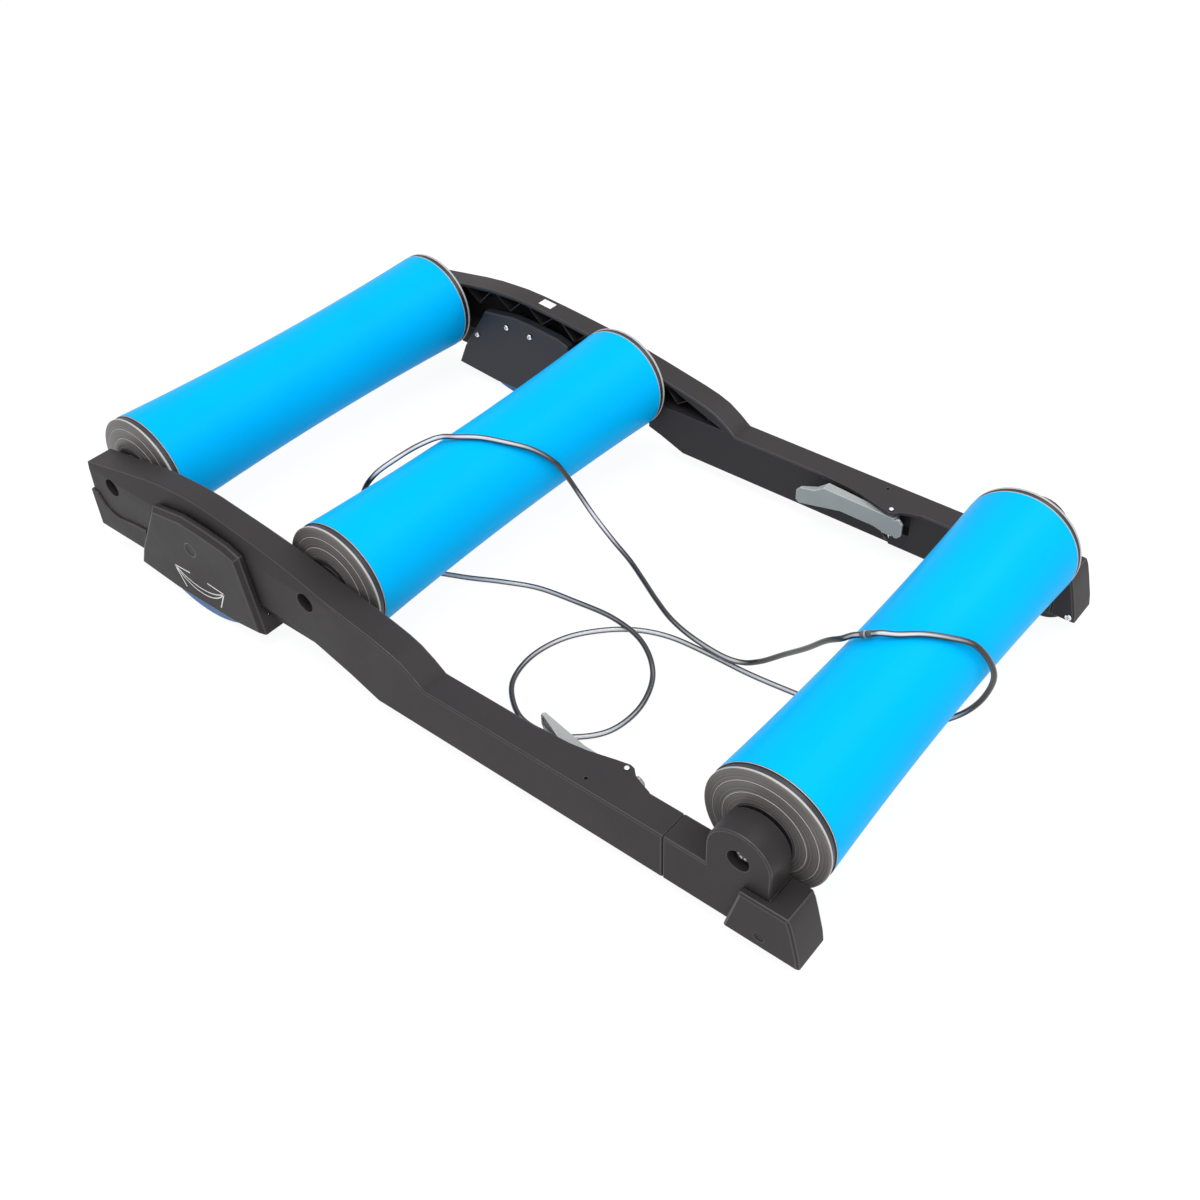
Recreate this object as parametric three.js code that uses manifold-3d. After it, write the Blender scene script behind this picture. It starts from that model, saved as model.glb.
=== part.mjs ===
import * as THREE from "three";
import { mergeVertices } from "three/addons/utils/BufferGeometryUtils.js";
import Module from "manifold-3d";

// Bike rollers, pushed in to their short length. Sizes are in millimetres.
// The origin is on the floor below the middle. +X points to the single front roller, +Y left and +Z up.
// Every sided piece is written for the left, and the right one is its mirror image across Y.
// The clamp levers are one moulding, so the right one is also turned over.

// Rollers and axles
const rollerRadius = 53.5;
const rollerWaistRadius = 49;
const rollerTubeLength = 384;
const rollerWall = 3;
const axleHeight = 83.5;
const rearAxleX = -357;
const middleAxleX = -90;
const frontAxleX = 351;
const axleRadius = 5.7;

// End caps, from the tube outwards
const capLipWidth = 1.4;
const capGrooveWidth = 4.2;
const capGrooveDepth = 0.9;
const capRimWidth = 3.4;
const capRimBevel = 1.4;
const capDome = 4;
const capHubRadius = 26;
const capHubRise = 0.8;
const capSpigotLength = 20;
const capSpigotWall = 4;
const capWebThickness = 12;
const capShoulderRadius = 9;

// Bearings
const bearingRadius = 14;
const bearingBore = 6;
const bearingWidth = 8;
const bearingRecess = 1.4;
const bearingChamfer = 0.6;

// Axle bolts
const boltRadius = 3;
const boltLength = 26;
const boltHeadRadius = 6.5;
const boltHeadLength = 7.4;
const boltSocketRadius = 3;
const boltSocketDepth = 3;
const boltRecessRadius = 9.3;
const boltWebThickness = 12;
const axleBossRadius = 14;

// Side rails
const railSideClear = 1.2;
const railWidth = 28.2;
const railWall = 3.8;
const railRearX = -394;
const railFrontX = 285.9;
const railRearLean = 4;
const railEdgeBevel = 1.2;
const railDraft = 5;
const railDraftZ = 92;
const archEndX = 54.1;
const archTopZ = 120.5;
const archFlange = 3.5;
const archRearBottomZ = 25;
const archMidBottomZ = 43.4;
const archMidBottomX = -120.3;
const sleeveBottomX = -14.5;
const sleeveRearX = -62;
const sleeveTopZ = 60;
const sleeveBottomZ = 12;
const sleeveRoof = 4.1;
const shelfThickness = 3;
const shelfOverhang = 2.5;
const ribPitch = 45;
const ribThickness = 2;
const ribDrop = 21;
const ribDepth = 23.2;
const ribFirstX = -322;
const trussFloorZ = 62.7;
const trussTaperX = -33;
const trussFrontX = 30;
const rearSkirtProud = 2.2;
const rearSkirtBevel = 0.9;
const rearSkirtZ = 67.5;
const rearSkirtDrop = 19.2;
const rearSkirtLength = 79.5;
const sleeveRebateFrontX = 222.9;
const sleeveRebateHeight = 2.5;
const sleeveRebateDepth = 5;
const ventRadius = 1.5;
const ventDepth = 3;
const ventX = 207;
const ventInset = 10;

// Telescoping front section
const beamWidth = 16.5;
const beamHeight = 24;
const beamWall = 2.5;
const beamRearX = -334.5;
const shoulderFrontX = 388;
const frontBossRadius = 27.5;
const frontBossInset = 2;

// Front wheels and feet
const wheelX = 376.5;
const wheelRadius = 24;
const wheelWidth = 23;
const wheelBevel = 3;
const wheelSideClear = 2;
const wheelPocketWall = 3.5;
const wheelPinRadius = 3;
const footRearX = 345.5;
const footFrontX = 410.5;
const footProud = 7.2;
const footSkin = 3.9;
const footBottomZ = 12.5;
const footTopZ = 60.5;
const footBevel = 1.8;
const footRearLean = 11.5;
const footFrontLean = 13;
const footLedgeX = 379.5;
const footLedge = 4;
const footDimpleRadius = 4.2;
const footDimpleDepth = 0.9;
const wheelPinCover = 1.5;
const footScrewX = 404.4;
const footScrewZ = 18;

// Swing housings and rockers
const pivotX = -234;
const pivotZ = 76;
const pivotPinRadius = 4;
const pivotBossRadius = 9;
const soleRadius = 109;
const soleHalfLength = 43;
const soleEdgeHeight = 17;
const bridgeHalfLength = 38;
const bridgeThickness = 10;
const rockerHubRadius = 10.5;
const rockerPlate = 5.4;
const coverWall = 2.5;
const coverProud = 9.8;
const coverBevel = 4.5;
const coverWallRun = 8;
const coverInset = 6;
const coverRearX = -328;
const coverFrontX = -151.5;
const coverTopZ = 108;
const coverBottomZ = 8.4;
const coverMouthLength = 116;
const coverMouthHeight = 44;
const innerCoverTopZ = 99.5;

// Small screws of the inner covers and the feet
const screwRadius = 1.6;
const screwLength = 12;
const screwHeadRadius = 3.1;
const screwHeadHeight = 1.2;
const screwSlotRadius = 1.2;
const screwSlotDepth = 0.7;
const screwBossRadius = 3.4;

// Clamp levers
const leverX = 225.6;
const leverInset = 8;
const leverHubRadius = 6.5;
const leverHubBottomZ = 33;
const leverHubTopZ = 54;
const camReach = 15.1;
const leverLength = 95;
const leverPeakReach = 67;
const leverPeakZ = 60;
const leverTipTopZ = 51;
const leverTipBottomZ = 33;
const leverTipInset = 12;
const leverArchZ = 40.3;
const leverArchReach = 48;
const leverRootReach = 14;
const leverRootZ = 37.4;
const knobReach = 14.6;
const knobThickness = 3;
const knobNotchReach = 6;
const knobNotchDepth = 2;
const leverNeckShare = 0.67;
const leverSkin = 2.6;
const leverWindowClear = 2;
const earThickness = 3;
const earReach = 13;
const earRearReach = 80;
const earFrontReach = 28;
const lowerEarZ = 27.4;
const lowerEarReach = 14;
const lowerEarLengthShare = 0.2;
const leverPinRadius = 1.7;
const leverPinHeadRadius = 2.2;
const leverPinHeadHeight = 1.2;

// Drive belt
const beltRadius = 2.5;
const beltSleeveRadius = 3.2;

// Clearances, overlaps and overruns
const slidingClear = 0.4;
const seatGap = 0.3;
const holeClear = 0.3;
const bearingClear = 0.3;
const weld = 1;
const overrun = 10;
const mergeDistance = 1e-4;

// Facets
const rollerSides = 40;
const waistSteps = 6;
const bossSides = 20;
const pinSides = 12;
const screwSides = 8;
const archSteps = 20;
const soleSteps = 9;
const arcSteps = 8;
const beltSides = 8;
const beltSteps = 160;
const cornersPerFace = 3;

// Values that follow from the ones above
const tubeHalf = rollerTubeLength / 2;
const capGrooveY = tubeHalf + capLipWidth;
const capGrooveEndY = capGrooveY + capGrooveWidth;
const capRimY = capGrooveEndY + capRimWidth;
const capHubY = capRimY + capDome + capHubRise;
const railInnerY = capHubY + railSideClear;
const railOuterY = railInnerY + railWidth;
const railSkinY = railOuterY - railWall;
const beamOuterY = railSkinY - slidingClear;
const beamInnerY = beamOuterY - beamWidth;
const beamTopZ = sleeveTopZ - sleeveRoof - slidingClear;
const beamBottomZ = beamTopZ - beamHeight;
const bearingOuterY = capHubY - bearingRecess;
const bearingInnerY = bearingOuterY - bearingWidth;
const frontBossInnerY = railInnerY + frontBossInset;
const footOuterY = railOuterY + footProud;
const leverY = railInnerY - leverInset;
const coverOuterY = railOuterY + coverProud;
const innerCoverY = railInnerY - coverInset;

const wasm = await Module();
wasm.setup();

const finish = (color, roughness, metalness = 0) =>
  new THREE.MeshStandardMaterial({ color, roughness, metalness });
const railPlastic = finish(0x2e2d30, 0.6);
const coverPlastic = finish(0x27282d, 0.55);
const rollerBlue = finish(0x0096e6, 0.3);
const capGrey = finish(0x6e6a69, 0.4);
const rockerBlue = finish(0x1a5ab4, 0.5);
const leverGrey = finish(0x969ea2, 0.45);
const wheelRubber = finish(0x1c1c1c, 0.8);
const steel = finish(0xb8b8b8, 0.3, 1);
const beltGrey = finish(0x4a4a4c, 0.3);

// A closed mesh as a solid that can be joined and cut
function solid(geometry) {
  const bare = geometry.clone();
  bare.deleteAttribute("normal");
  bare.deleteAttribute("uv");
  const merged = mergeVertices(bare, mergeDistance);
  const corners = [];
  for (let i = 0; i < merged.index.count; i += cornersPerFace) {
    const [a, b, c] = merged.index.array.slice(i, i + cornersPerFace);
    if (a !== b && b !== c && c !== a) corners.push(a, b, c);
  }
  return new wasm.Manifold(
    new wasm.Mesh({
      numProp: 3,
      vertProperties: merged.attributes.position.array,
      triVerts: new Uint32Array(corners),
    }),
  );
}

const union = (solids) => solids.reduce((whole, next) => whole.add(next));
const cut = (whole, tools) => tools.reduce((rest, tool) => rest.subtract(tool), whole);

const outline = (pairs) => new THREE.Shape(pairs.map(([across, up]) => new THREE.Vector2(across, up)));

// An outline extruded from one depth to another, with its edges bevelled
function prism(shape, from, to, bevel) {
  return new THREE.ExtrudeGeometry(shape, {
    depth: to - from - 2 * bevel,
    bevelEnabled: bevel > 0,
    bevelThickness: bevel,
    bevelSize: bevel,
    bevelOffset: -bevel,
    bevelSegments: 1,
    curveSegments: arcSteps,
  }).translate(0, 0, from + bevel);
}

// An outline seen from the side (X, Z), solid from one Y to another
const sideSolid = (shape, fromY, toY, bevel = 0) =>
  solid(prism(shape, -toY, -fromY, bevel).rotateX(Math.PI / 2));

// An outline seen from above (X, Y), solid from one Z to another
const planSolid = (shape, fromZ, toZ, bevel = 0) => solid(prism(shape, fromZ, toZ, bevel));

// An outline seen from the front (Y, Z), solid from one X to another
function crossSolid(shape, fromX, toX) {
  const turn = new THREE.Matrix4().makeBasis(
    new THREE.Vector3(0, 1, 0),
    new THREE.Vector3(0, 0, 1),
    new THREE.Vector3(1, 0, 0),
  );
  return solid(prism(shape, fromX, toX, 0).applyMatrix4(turn));
}

const rectangle = (fromA, toA, fromB, toB) =>
  outline([
    [fromA, fromB],
    [toA, fromB],
    [toA, toB],
    [fromA, toB],
  ]);

const box = (fromX, toX, fromY, toY, fromZ, toZ) => planSolid(rectangle(fromX, toX, fromY, toY), fromZ, toZ);

function rodAlongY(radius, x, z, fromY, toY, sides = pinSides) {
  const rod = new THREE.CylinderGeometry(radius, radius, toY - fromY, sides);
  return solid(rod.translate(x, (fromY + toY) / 2, z));
}

function rodAlongZ(radius, x, y, fromZ, toZ, sides = pinSides) {
  const rod = new THREE.CylinderGeometry(radius, radius, toZ - fromZ, sides);
  return solid(rod.rotateX(Math.PI / 2).translate(x, y, (fromZ + toZ) / 2));
}

// A profile of [radius, Y] pairs turned about an axis along Y, outside first with Y rising
function turned(profile, x, z, sides) {
  const points = profile.map(([radius, y]) => new THREE.Vector2(radius, y));
  return solid(new THREE.LatheGeometry(points, sides).translate(x, 0, z));
}

const ring = (profile, x, z, sides) => turned([...profile, profile[0]], x, z, sides);

// A counterclockwise outline of pairs moved inwards by a distance
function inset(pairs, distance) {
  const count = pairs.length;
  const edgeNormal = (i) => {
    const [ax, az] = pairs[i];
    const [bx, bz] = pairs[(i + 1) % count];
    return new THREE.Vector2(az - bz, bx - ax).normalize();
  };
  return pairs.map(([x, z], i) => {
    const before = edgeNormal((i + count - 1) % count);
    const after = edgeNormal(i);
    const mitre = before.clone().add(after).normalize();
    const reach = distance / mitre.dot(after);
    return [x + mitre.x * reach, z + mitre.y * reach];
  });
}

// The top line of the arch, from the rear end to where it meets the flat sleeve
const archShares = [
  [0.009, 0.65],
  [0.101, 0.77],
  [0.224, 0.94],
  [0.301, 0.99],
  [0.37, 1],
  [0.476, 0.93],
  [0.587, 0.83],
  [0.668, 0.73],
  [0.727, 0.63],
  [0.808, 0.51],
  [0.885, 0.39],
  [0.934, 0.25],
  [0.98, 0],
];
const archLine = new THREE.SplineCurve(
  archShares.map(
    ([along, up]) =>
      new THREE.Vector2(
        railRearX + along * (archEndX - railRearX),
        sleeveTopZ + up * (archTopZ - sleeveTopZ),
      ),
  ),
)
  .getPoints(archSteps)
  .map((p) => [p.x, p.y]);

// Height of the arch's top line at an X
function archHeight(x) {
  const after = archLine.findIndex(([px]) => px >= x);
  if (after < 0) return sleeveTopZ;
  if (after === 0) return archLine[0][1];
  const [ax, az] = archLine[after - 1];
  const [bx, bz] = archLine[after];
  return az + ((x - ax) / (bx - ax)) * (bz - az);
}

// The lower edge of the outer wall between the housing and the sleeve
const lowerEdgeShares = [
  [0, 1],
  [0.14, 0.95],
  [0.36, 0.75],
  [0.7, 0.39],
  [0.91, 0.12],
  [1, 0],
];
const lowerEdge = lowerEdgeShares.map(([along, up]) => [
  archMidBottomX + along * (sleeveBottomX - archMidBottomX),
  sleeveBottomZ + up * (archMidBottomZ - sleeveBottomZ),
]);

// The three screws of an inner cover, from the rocker's pivot
const coverScrewPlaces = [
  { behind: 62, above: -16 },
  { behind: 16.5, above: 8.4 },
  { behind: -16.5, above: 8.4 },
].map(({ behind, above }) => [pivotX - behind, pivotZ + above]);

// Side rail: a moulded arch, open towards the inside, with the sleeve of the telescope ahead of it
function rail() {
  const stepX = coverFrontX - coverWallRun;
  const block = sideSolid(
    outline([
      [railRearX, archRearBottomZ],
      [stepX - coverWallRun, archRearBottomZ],
      [stepX, archMidBottomZ],
      ...lowerEdge,
      [railFrontX, sleeveBottomZ],
      [railFrontX, sleeveTopZ],
      ...archLine.toReversed(),
    ]),
    railInnerY,
    railOuterY,
    railEdgeBevel,
  );

  // The outer face leans in above the axles
  const leanPerHeight = railDraft / (archTopZ - railDraftZ);
  const leanTop = archTopZ + overrun;
  const lean = (skin) =>
    crossSolid(
      outline([
        [railOuterY - skin, railDraftZ],
        [railOuterY + overrun, railDraftZ],
        [railOuterY + overrun, leanTop],
        [railOuterY - skin - leanPerHeight * (leanTop - railDraftZ), leanTop],
      ]),
      railRearX - overrun,
      railFrontX + overrun,
    );

  const hollowRearX = railRearX + railRearLean + railWall;
  const hollowLine = archLine
    .filter(([x]) => x > hollowRearX && x < trussTaperX)
    .map(([x, z]) => [x, z - archFlange]);
  const hollow = sideSolid(
    outline([
      [hollowRearX, -overrun],
      [sleeveRearX, -overrun],
      [sleeveRearX, trussFloorZ],
      [trussFrontX, trussFloorZ],
      [trussTaperX, archHeight(trussTaperX) - archFlange],
      ...hollowLine.toReversed(),
      [hollowRearX, archHeight(hollowRearX) - archFlange],
    ]),
    railInnerY - overrun,
    railSkinY,
  ).subtract(lean(railWall));

  const shelf = box(
    railRearX + railRearLean,
    sleeveRearX + weld,
    beamInnerY - shelfOverhang,
    railSkinY + weld,
    beamTopZ + slidingClear,
    beamTopZ + slidingClear + shelfThickness,
  );

  const ribs = [];
  for (let x = ribFirstX, up = true; x + ribPitch / 2 < trussFrontX; x += ribPitch / 2, up = !up) {
    const nextX = x + ribPitch / 2;
    const high = (at) => archHeight(at) - archFlange / 2;
    const [startZ, endZ] = up ? [high(x), high(nextX) - ribDrop] : [high(x) - ribDrop, high(nextX)];
    ribs.push(
      sideSolid(
        outline([
          [x - ribThickness / 2, startZ],
          [nextX - ribThickness / 2, endZ],
          [nextX + ribThickness / 2, endZ],
          [x + ribThickness / 2, startZ],
        ]),
        railOuterY - ribDepth,
        railSkinY + weld,
      ),
    );
  }

  const axleBosses = [rearAxleX, middleAxleX].map((x) =>
    rodAlongY(axleBossRadius, x, axleHeight, railInnerY, railSkinY + weld, bossSides),
  );
  const pivotBoss = rodAlongY(
    pivotBossRadius,
    pivotX,
    pivotZ,
    beamInnerY - shelfOverhang,
    railSkinY + weld,
    bossSides,
  );
  const screwBosses = coverScrewPlaces.map(([x, z]) =>
    rodAlongY(screwBossRadius, x, z, innerCoverY + coverWall + seatGap, railSkinY + weld),
  );

  const earTop = planSolid(earOutline(earReach), sleeveTopZ - earThickness, sleeveTopZ);
  const earLow = planSolid(
    earOutline(lowerEarReach, lowerEarLengthShare),
    lowerEarZ,
    lowerEarZ + earThickness,
  );

  const solidParts = union([
    cut(block, [hollow]),
    shelf,
    ...ribs,
    ...axleBosses,
    pivotBoss,
    ...screwBosses,
    earTop,
    earLow,
    rearSkirt(),
  ]);

  const passage = crossSolid(
    rectangle(
      beamInnerY - slidingClear,
      railSkinY,
      beamBottomZ - slidingClear,
      beamTopZ + slidingClear,
    ),
    sleeveRearX - overrun,
    railFrontX + overrun,
  );
  const camWindow = box(
    leverX - camReach - leverWindowClear,
    leverX + camReach + leverWindowClear,
    railInnerY - seatGap,
    beamInnerY,
    leverHubBottomZ - leverWindowClear,
    leverHubTopZ + leverWindowClear,
  );
  const boltHoles = [rearAxleX, middleAxleX].flatMap((x) => boltHole(x, railInnerY));
  const screwHoles = coverScrewPlaces.map(([x, z]) =>
    rodAlongY(screwRadius + holeClear, x, z, railInnerY - overrun, railInnerY + screwLength, screwSides),
  );
  const sleeveRebate = box(
    sleeveRearX,
    sleeveRebateFrontX,
    railInnerY - overrun,
    railInnerY + sleeveRebateDepth,
    sleeveBottomZ - overrun,
    sleeveBottomZ + sleeveRebateHeight,
  );

  return cut(solidParts, [
    lean(0),
    passage,
    camWindow,
    sleeveRebate,
    rodAlongY(pivotPinRadius + holeClear, pivotX, pivotZ, railInnerY, railOuterY + overrun),
    rodAlongZ(
      ventRadius,
      ventX,
      railOuterY - ventInset,
      sleeveTopZ - ventDepth,
      sleeveTopZ + overrun,
      screwSides,
    ),
    rodAlongZ(leverPinRadius + holeClear, leverX, leverY, 0, sleeveTopZ + overrun),
    ...boltHoles,
    ...screwHoles,
  ]);
}

// The proud skirt that curves under the rear axle and runs on to the housing cover
function rearSkirt() {
  const lineShares = [
    [1, 0.71],
    [0.76, 0.8],
    [0.61, 0.9],
    [0.45, 1],
    [0.32, 0.93],
    [0.23, 0.78],
    [0.17, 0.43],
    [0.12, 0.08],
    [0.08, 0],
    [0, 0],
  ];
  const footShare = 0.85;
  const line = lineShares.map(([along, down]) => [
    railRearX + along * rearSkirtLength,
    rearSkirtZ - down * rearSkirtDrop,
  ]);
  return sideSolid(
    outline([
      [railRearX, archRearBottomZ],
      [railRearX + footShare * rearSkirtLength, archRearBottomZ],
      ...line,
    ]),
    railSkinY,
    railOuterY + rearSkirtProud,
    rearSkirtBevel,
  );
}

// The lug that carries a lever's pivot, seen from above, with its lengths behind and ahead times a share
function earOutline(reach, lengthShare = 1) {
  const earShares = [
    [-1, 0],
    [-0.63, 0.14],
    [-0.42, 0.36],
    [-0.16, 0.78],
    [0, 1],
    [0.16, 0.92],
    [0.36, 0.5],
    [0.56, 0.32],
    [1, 0],
  ];
  const rootY = railInnerY + railEdgeBevel + weld;
  const place = ([along, across]) => [
    leverX + along * lengthShare * (along < 0 ? earRearReach : earFrontReach),
    railInnerY - across * reach,
  ];
  const edge = earShares.map(place);
  return outline([...edge, [edge.at(-1)[0], rootY], [edge[0][0], rootY]]);
}

// The two cuts for an axle bolt: the wide recess from outside and the hole for its shank
function boltHole(x, innerY) {
  return [
    rodAlongY(boltRecessRadius, x, axleHeight, innerY + boltWebThickness, railOuterY + overrun, bossSides),
    rodAlongY(boltRadius + holeClear, x, axleHeight, innerY - overrun, railOuterY, screwSides),
  ];
}

// Front section: the telescoping beam, the shoulder that meets the sleeve and the upstand for the axle
function frontSlide() {
  const shoulderRearX = railFrontX + seatGap;
  const beam = crossSolid(
    rectangle(beamInnerY, beamOuterY, beamBottomZ, beamTopZ),
    beamRearX,
    shoulderRearX + weld,
  );
  const bore = crossSolid(
    rectangle(
      beamInnerY + beamWall,
      beamOuterY - beamWall,
      beamBottomZ + beamWall,
      beamTopZ - beamWall,
    ),
    beamRearX - overrun,
    shoulderRearX,
  );
  const shoulder = sideSolid(
    rectangle(shoulderRearX, shoulderFrontX, sleeveBottomZ, sleeveTopZ),
    railInnerY,
    railOuterY,
    railEdgeBevel,
  );
  const upstand = new THREE.Shape()
    .moveTo(frontAxleX - frontBossRadius, sleeveTopZ - sleeveRoof)
    .lineTo(frontAxleX + frontBossRadius, sleeveTopZ - sleeveRoof)
    .lineTo(frontAxleX + frontBossRadius, axleHeight)
    .absarc(frontAxleX, axleHeight, frontBossRadius, 0, Math.PI);
  const boss = sideSolid(upstand, frontBossInnerY, railOuterY, railEdgeBevel);
  const pocket = wheelPocket(railInnerY + wheelPocketWall, railOuterY + overrun);
  const ledgeSeat = box(
    footLedgeX - seatGap,
    shoulderFrontX + overrun,
    railInnerY - overrun,
    railOuterY + overrun,
    sleeveTopZ - footLedge - seatGap,
    sleeveTopZ + overrun,
  );
  return cut(union([beam.subtract(bore), shoulder, boss]), [
    pocket,
    ledgeSeat,
    wheelPinHole(railInnerY - overrun, railOuterY + overrun),
    ...boltHole(frontAxleX, frontBossInnerY),
  ]);
}

// The round-topped pocket that a wheel turns in, open at the bottom
function wheelPocket(fromY, toY) {
  const reach = wheelRadius + wheelSideClear;
  const arch = new THREE.Shape()
    .moveTo(wheelX - reach, -overrun)
    .lineTo(wheelX + reach, -overrun)
    .lineTo(wheelX + reach, wheelRadius)
    .absarc(wheelX, wheelRadius, reach, 0, Math.PI);
  return sideSolid(arch, fromY, toY);
}

const wheelPinHole = (fromY, toY) => rodAlongY(wheelPinRadius + holeClear, wheelX, wheelRadius, fromY, toY);

// Front foot: a cap over the shoulder's outer face, front end and top ledge, with the wheel inside
function foot() {
  const frontShares = [
    [0, 0],
    [0.14, 0.24],
    [0.33, 0.44],
    [0.57, 0.68],
    [0.79, 0.88],
    [1, 1],
  ];
  const front = frontShares.map(([back, up]) => [
    footFrontX - back * footFrontLean,
    footBottomZ + up * (footTopZ - footBottomZ),
  ]);
  const block = sideSolid(
    outline([[footRearX, footBottomZ], ...front, [footRearX + footRearLean, footTopZ]]),
    railInnerY,
    footOuterY,
    footBevel,
  );
  return cut(block, [
    box(
      footRearX - overrun,
      footLedgeX,
      railInnerY - overrun,
      railOuterY + seatGap,
      footBottomZ - overrun,
      footTopZ + overrun,
    ),
    box(
      footLedgeX - weld,
      shoulderFrontX + seatGap,
      railInnerY - overrun,
      railOuterY + seatGap,
      footBottomZ - overrun,
      sleeveTopZ - footLedge,
    ),
    wheelPocket(railInnerY + wheelPocketWall, footOuterY - footSkin),
    wheelPinHole(railOuterY, footOuterY - wheelPinCover),
    rodAlongY(footDimpleRadius, wheelX, wheelRadius, footOuterY - footDimpleDepth, footOuterY + overrun),
    rodAlongY(
      screwRadius + holeClear,
      footScrewX,
      footScrewZ,
      railInnerY - overrun,
      railInnerY + screwLength,
      screwSides,
    ),
  ]);
}

const wheelInnerY = railInnerY + wheelPocketWall + wheelSideClear;

function wheel() {
  const bore = wheelPinRadius + holeClear;
  const outerY = wheelInnerY + wheelWidth;
  return ring(
    [
      [bore, wheelInnerY],
      [wheelRadius - wheelBevel, wheelInnerY],
      [wheelRadius, wheelInnerY + wheelBevel],
      [wheelRadius, outerY - wheelBevel],
      [wheelRadius - wheelBevel, outerY],
      [bore, outerY],
    ],
    wheelX,
    wheelRadius,
    bossSides,
  );
}

const wheelPin = () =>
  rodAlongY(wheelPinRadius, wheelX, wheelRadius, railInnerY + weld, footOuterY - wheelPinCover - seatGap);

// The outline of a housing cover, counterclockwise from its rear bottom corner
function coverOutline(topZ) {
  const coverShares = [
    [0, 0.06],
    [0.32, 0],
    [0.62, 0.008],
    [0.78, 0.012],
    [1, 0.064],
    [0.925, 0.9],
    [0.84, 0.955],
    [0.65, 0.99],
    [0.5, 1],
    [0.26, 0.93],
    [0.06, 0.325],
  ];
  return coverShares.map(([along, up]) => [
    coverRearX + along * (coverFrontX - coverRearX),
    coverBottomZ + up * (topZ - coverBottomZ),
  ]);
}

// The mouth below a cover, where the rocker swings out
const coverMouth = (fromY, toY) =>
  box(
    pivotX - coverMouthLength / 2,
    pivotX + coverMouthLength / 2,
    fromY,
    toY,
    coverBottomZ - overrun,
    coverMouthHeight,
  );

function outerCover() {
  const pairs = coverOutline(coverTopZ);
  const seatY = railOuterY + seatGap;
  const shell = sideSolid(outline(pairs), seatY - coverBevel, coverOuterY, coverBevel);
  const hollow = sideSolid(
    outline(inset(pairs, coverWall)),
    seatY - 2 * coverBevel,
    coverOuterY - coverWall,
    coverBevel,
  );
  const cap = cut(shell, [
    hollow,
    coverMouth(seatY - overrun, coverOuterY - coverWall),
    box(
      coverRearX - overrun,
      coverFrontX + overrun,
      seatY - overrun,
      seatY,
      coverBottomZ - overrun,
      coverTopZ + overrun,
    ),
  ]);

  // Below the rail, its front wall runs on inwards: under the beam as far as the inner cover, and
  // beside the beam up to the rail
  const returnInnerY = beamInnerY - shelfOverhang;
  const frontWall = sideSolid(outline(pairs), returnInnerY, seatY + weld)
    .subtract(sideSolid(outline(inset(pairs, coverWall)), returnInnerY - overrun, seatY + overrun));
  const returnPart = (fromY, topZ) =>
    frontWall.intersect(
      box(
        coverFrontX - coverWallRun,
        coverFrontX + overrun,
        fromY,
        seatY + weld,
        coverBottomZ - overrun,
        topZ,
      ),
    );
  return union([
    cap,
    returnPart(returnInnerY, beamBottomZ - 2 * slidingClear),
    returnPart(beamOuterY + slidingClear, archMidBottomZ - seatGap),
  ]);
}

function innerCover() {
  const pairs = coverOutline(innerCoverTopZ);
  const shell = sideSolid(outline(pairs), innerCoverY, beamInnerY - shelfOverhang - seatGap, railEdgeBevel);
  const hollow = sideSolid(outline(inset(pairs, coverWall)), innerCoverY + coverWall, railOuterY);
  const holes = coverScrewPlaces.map(([x, z]) =>
    rodAlongY(screwRadius + holeClear, x, z, innerCoverY - overrun, railInnerY, screwSides),
  );
  return cut(shell, [hollow, coverMouth(innerCoverY + coverWall, railOuterY), ...holes]);
}

// Swing rocker: a saddle that hangs on its pin, with a plate on each side of the beam and a round sole
function rocker() {
  const innerFaceY = innerCoverY + coverWall + 2 * slidingClear;
  const outerFaceY = coverOuterY - coverWall - 2 * slidingClear;
  const soleZ = (x) => soleRadius - Math.sqrt(soleRadius ** 2 - x ** 2);
  const sole = (half) => {
    const line = [];
    for (let i = 0; i <= soleSteps; i += 1) {
      const x = half * ((2 * i) / soleSteps - 1);
      line.push([pivotX + x, soleZ(x)]);
    }
    return line;
  };
  const plateShape = outline([
    ...sole(soleHalfLength),
    [pivotX + soleHalfLength, soleEdgeHeight],
    [pivotX + rockerHubRadius, pivotZ],
  ]);
  plateShape.absarc(pivotX, pivotZ, rockerHubRadius, 0, Math.PI);
  plateShape.lineTo(pivotX - soleHalfLength, soleEdgeHeight);
  const bridge = sideSolid(
    outline([
      ...sole(bridgeHalfLength),
      [pivotX + bridgeHalfLength, bridgeThickness],
      [pivotX - bridgeHalfLength, bridgeThickness],
    ]),
    innerFaceY,
    outerFaceY,
  );
  return cut(
    union([
      sideSolid(plateShape, innerFaceY, innerFaceY + rockerPlate),
      sideSolid(plateShape, outerFaceY - rockerPlate, outerFaceY),
      bridge,
    ]),
    [rodAlongY(pivotPinRadius + holeClear, pivotX, pivotZ, innerFaceY - overrun, outerFaceY + overrun)],
  );
}

const rockerPin = () =>
  rodAlongY(
    pivotPinRadius,
    pivotX,
    pivotZ,
    innerCoverY + coverWall + seatGap,
    coverOuterY - coverWall - seatGap,
  );

// A small round-headed screw along Y, with its head towards the middle of the rollers
function smallScrew(x, z, faceY) {
  const headY = faceY - seatGap - screwHeadHeight;
  return turned(
    [
      [0, headY + screwSlotDepth],
      [screwSlotRadius, headY + screwSlotDepth],
      [screwSlotRadius, headY],
      [screwHeadRadius, headY],
      [screwHeadRadius, faceY - seatGap],
      [screwRadius, faceY - seatGap],
      [screwRadius, faceY + screwLength],
      [0, faceY + screwLength],
    ],
    x,
    z,
    screwSides,
  );
}

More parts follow.
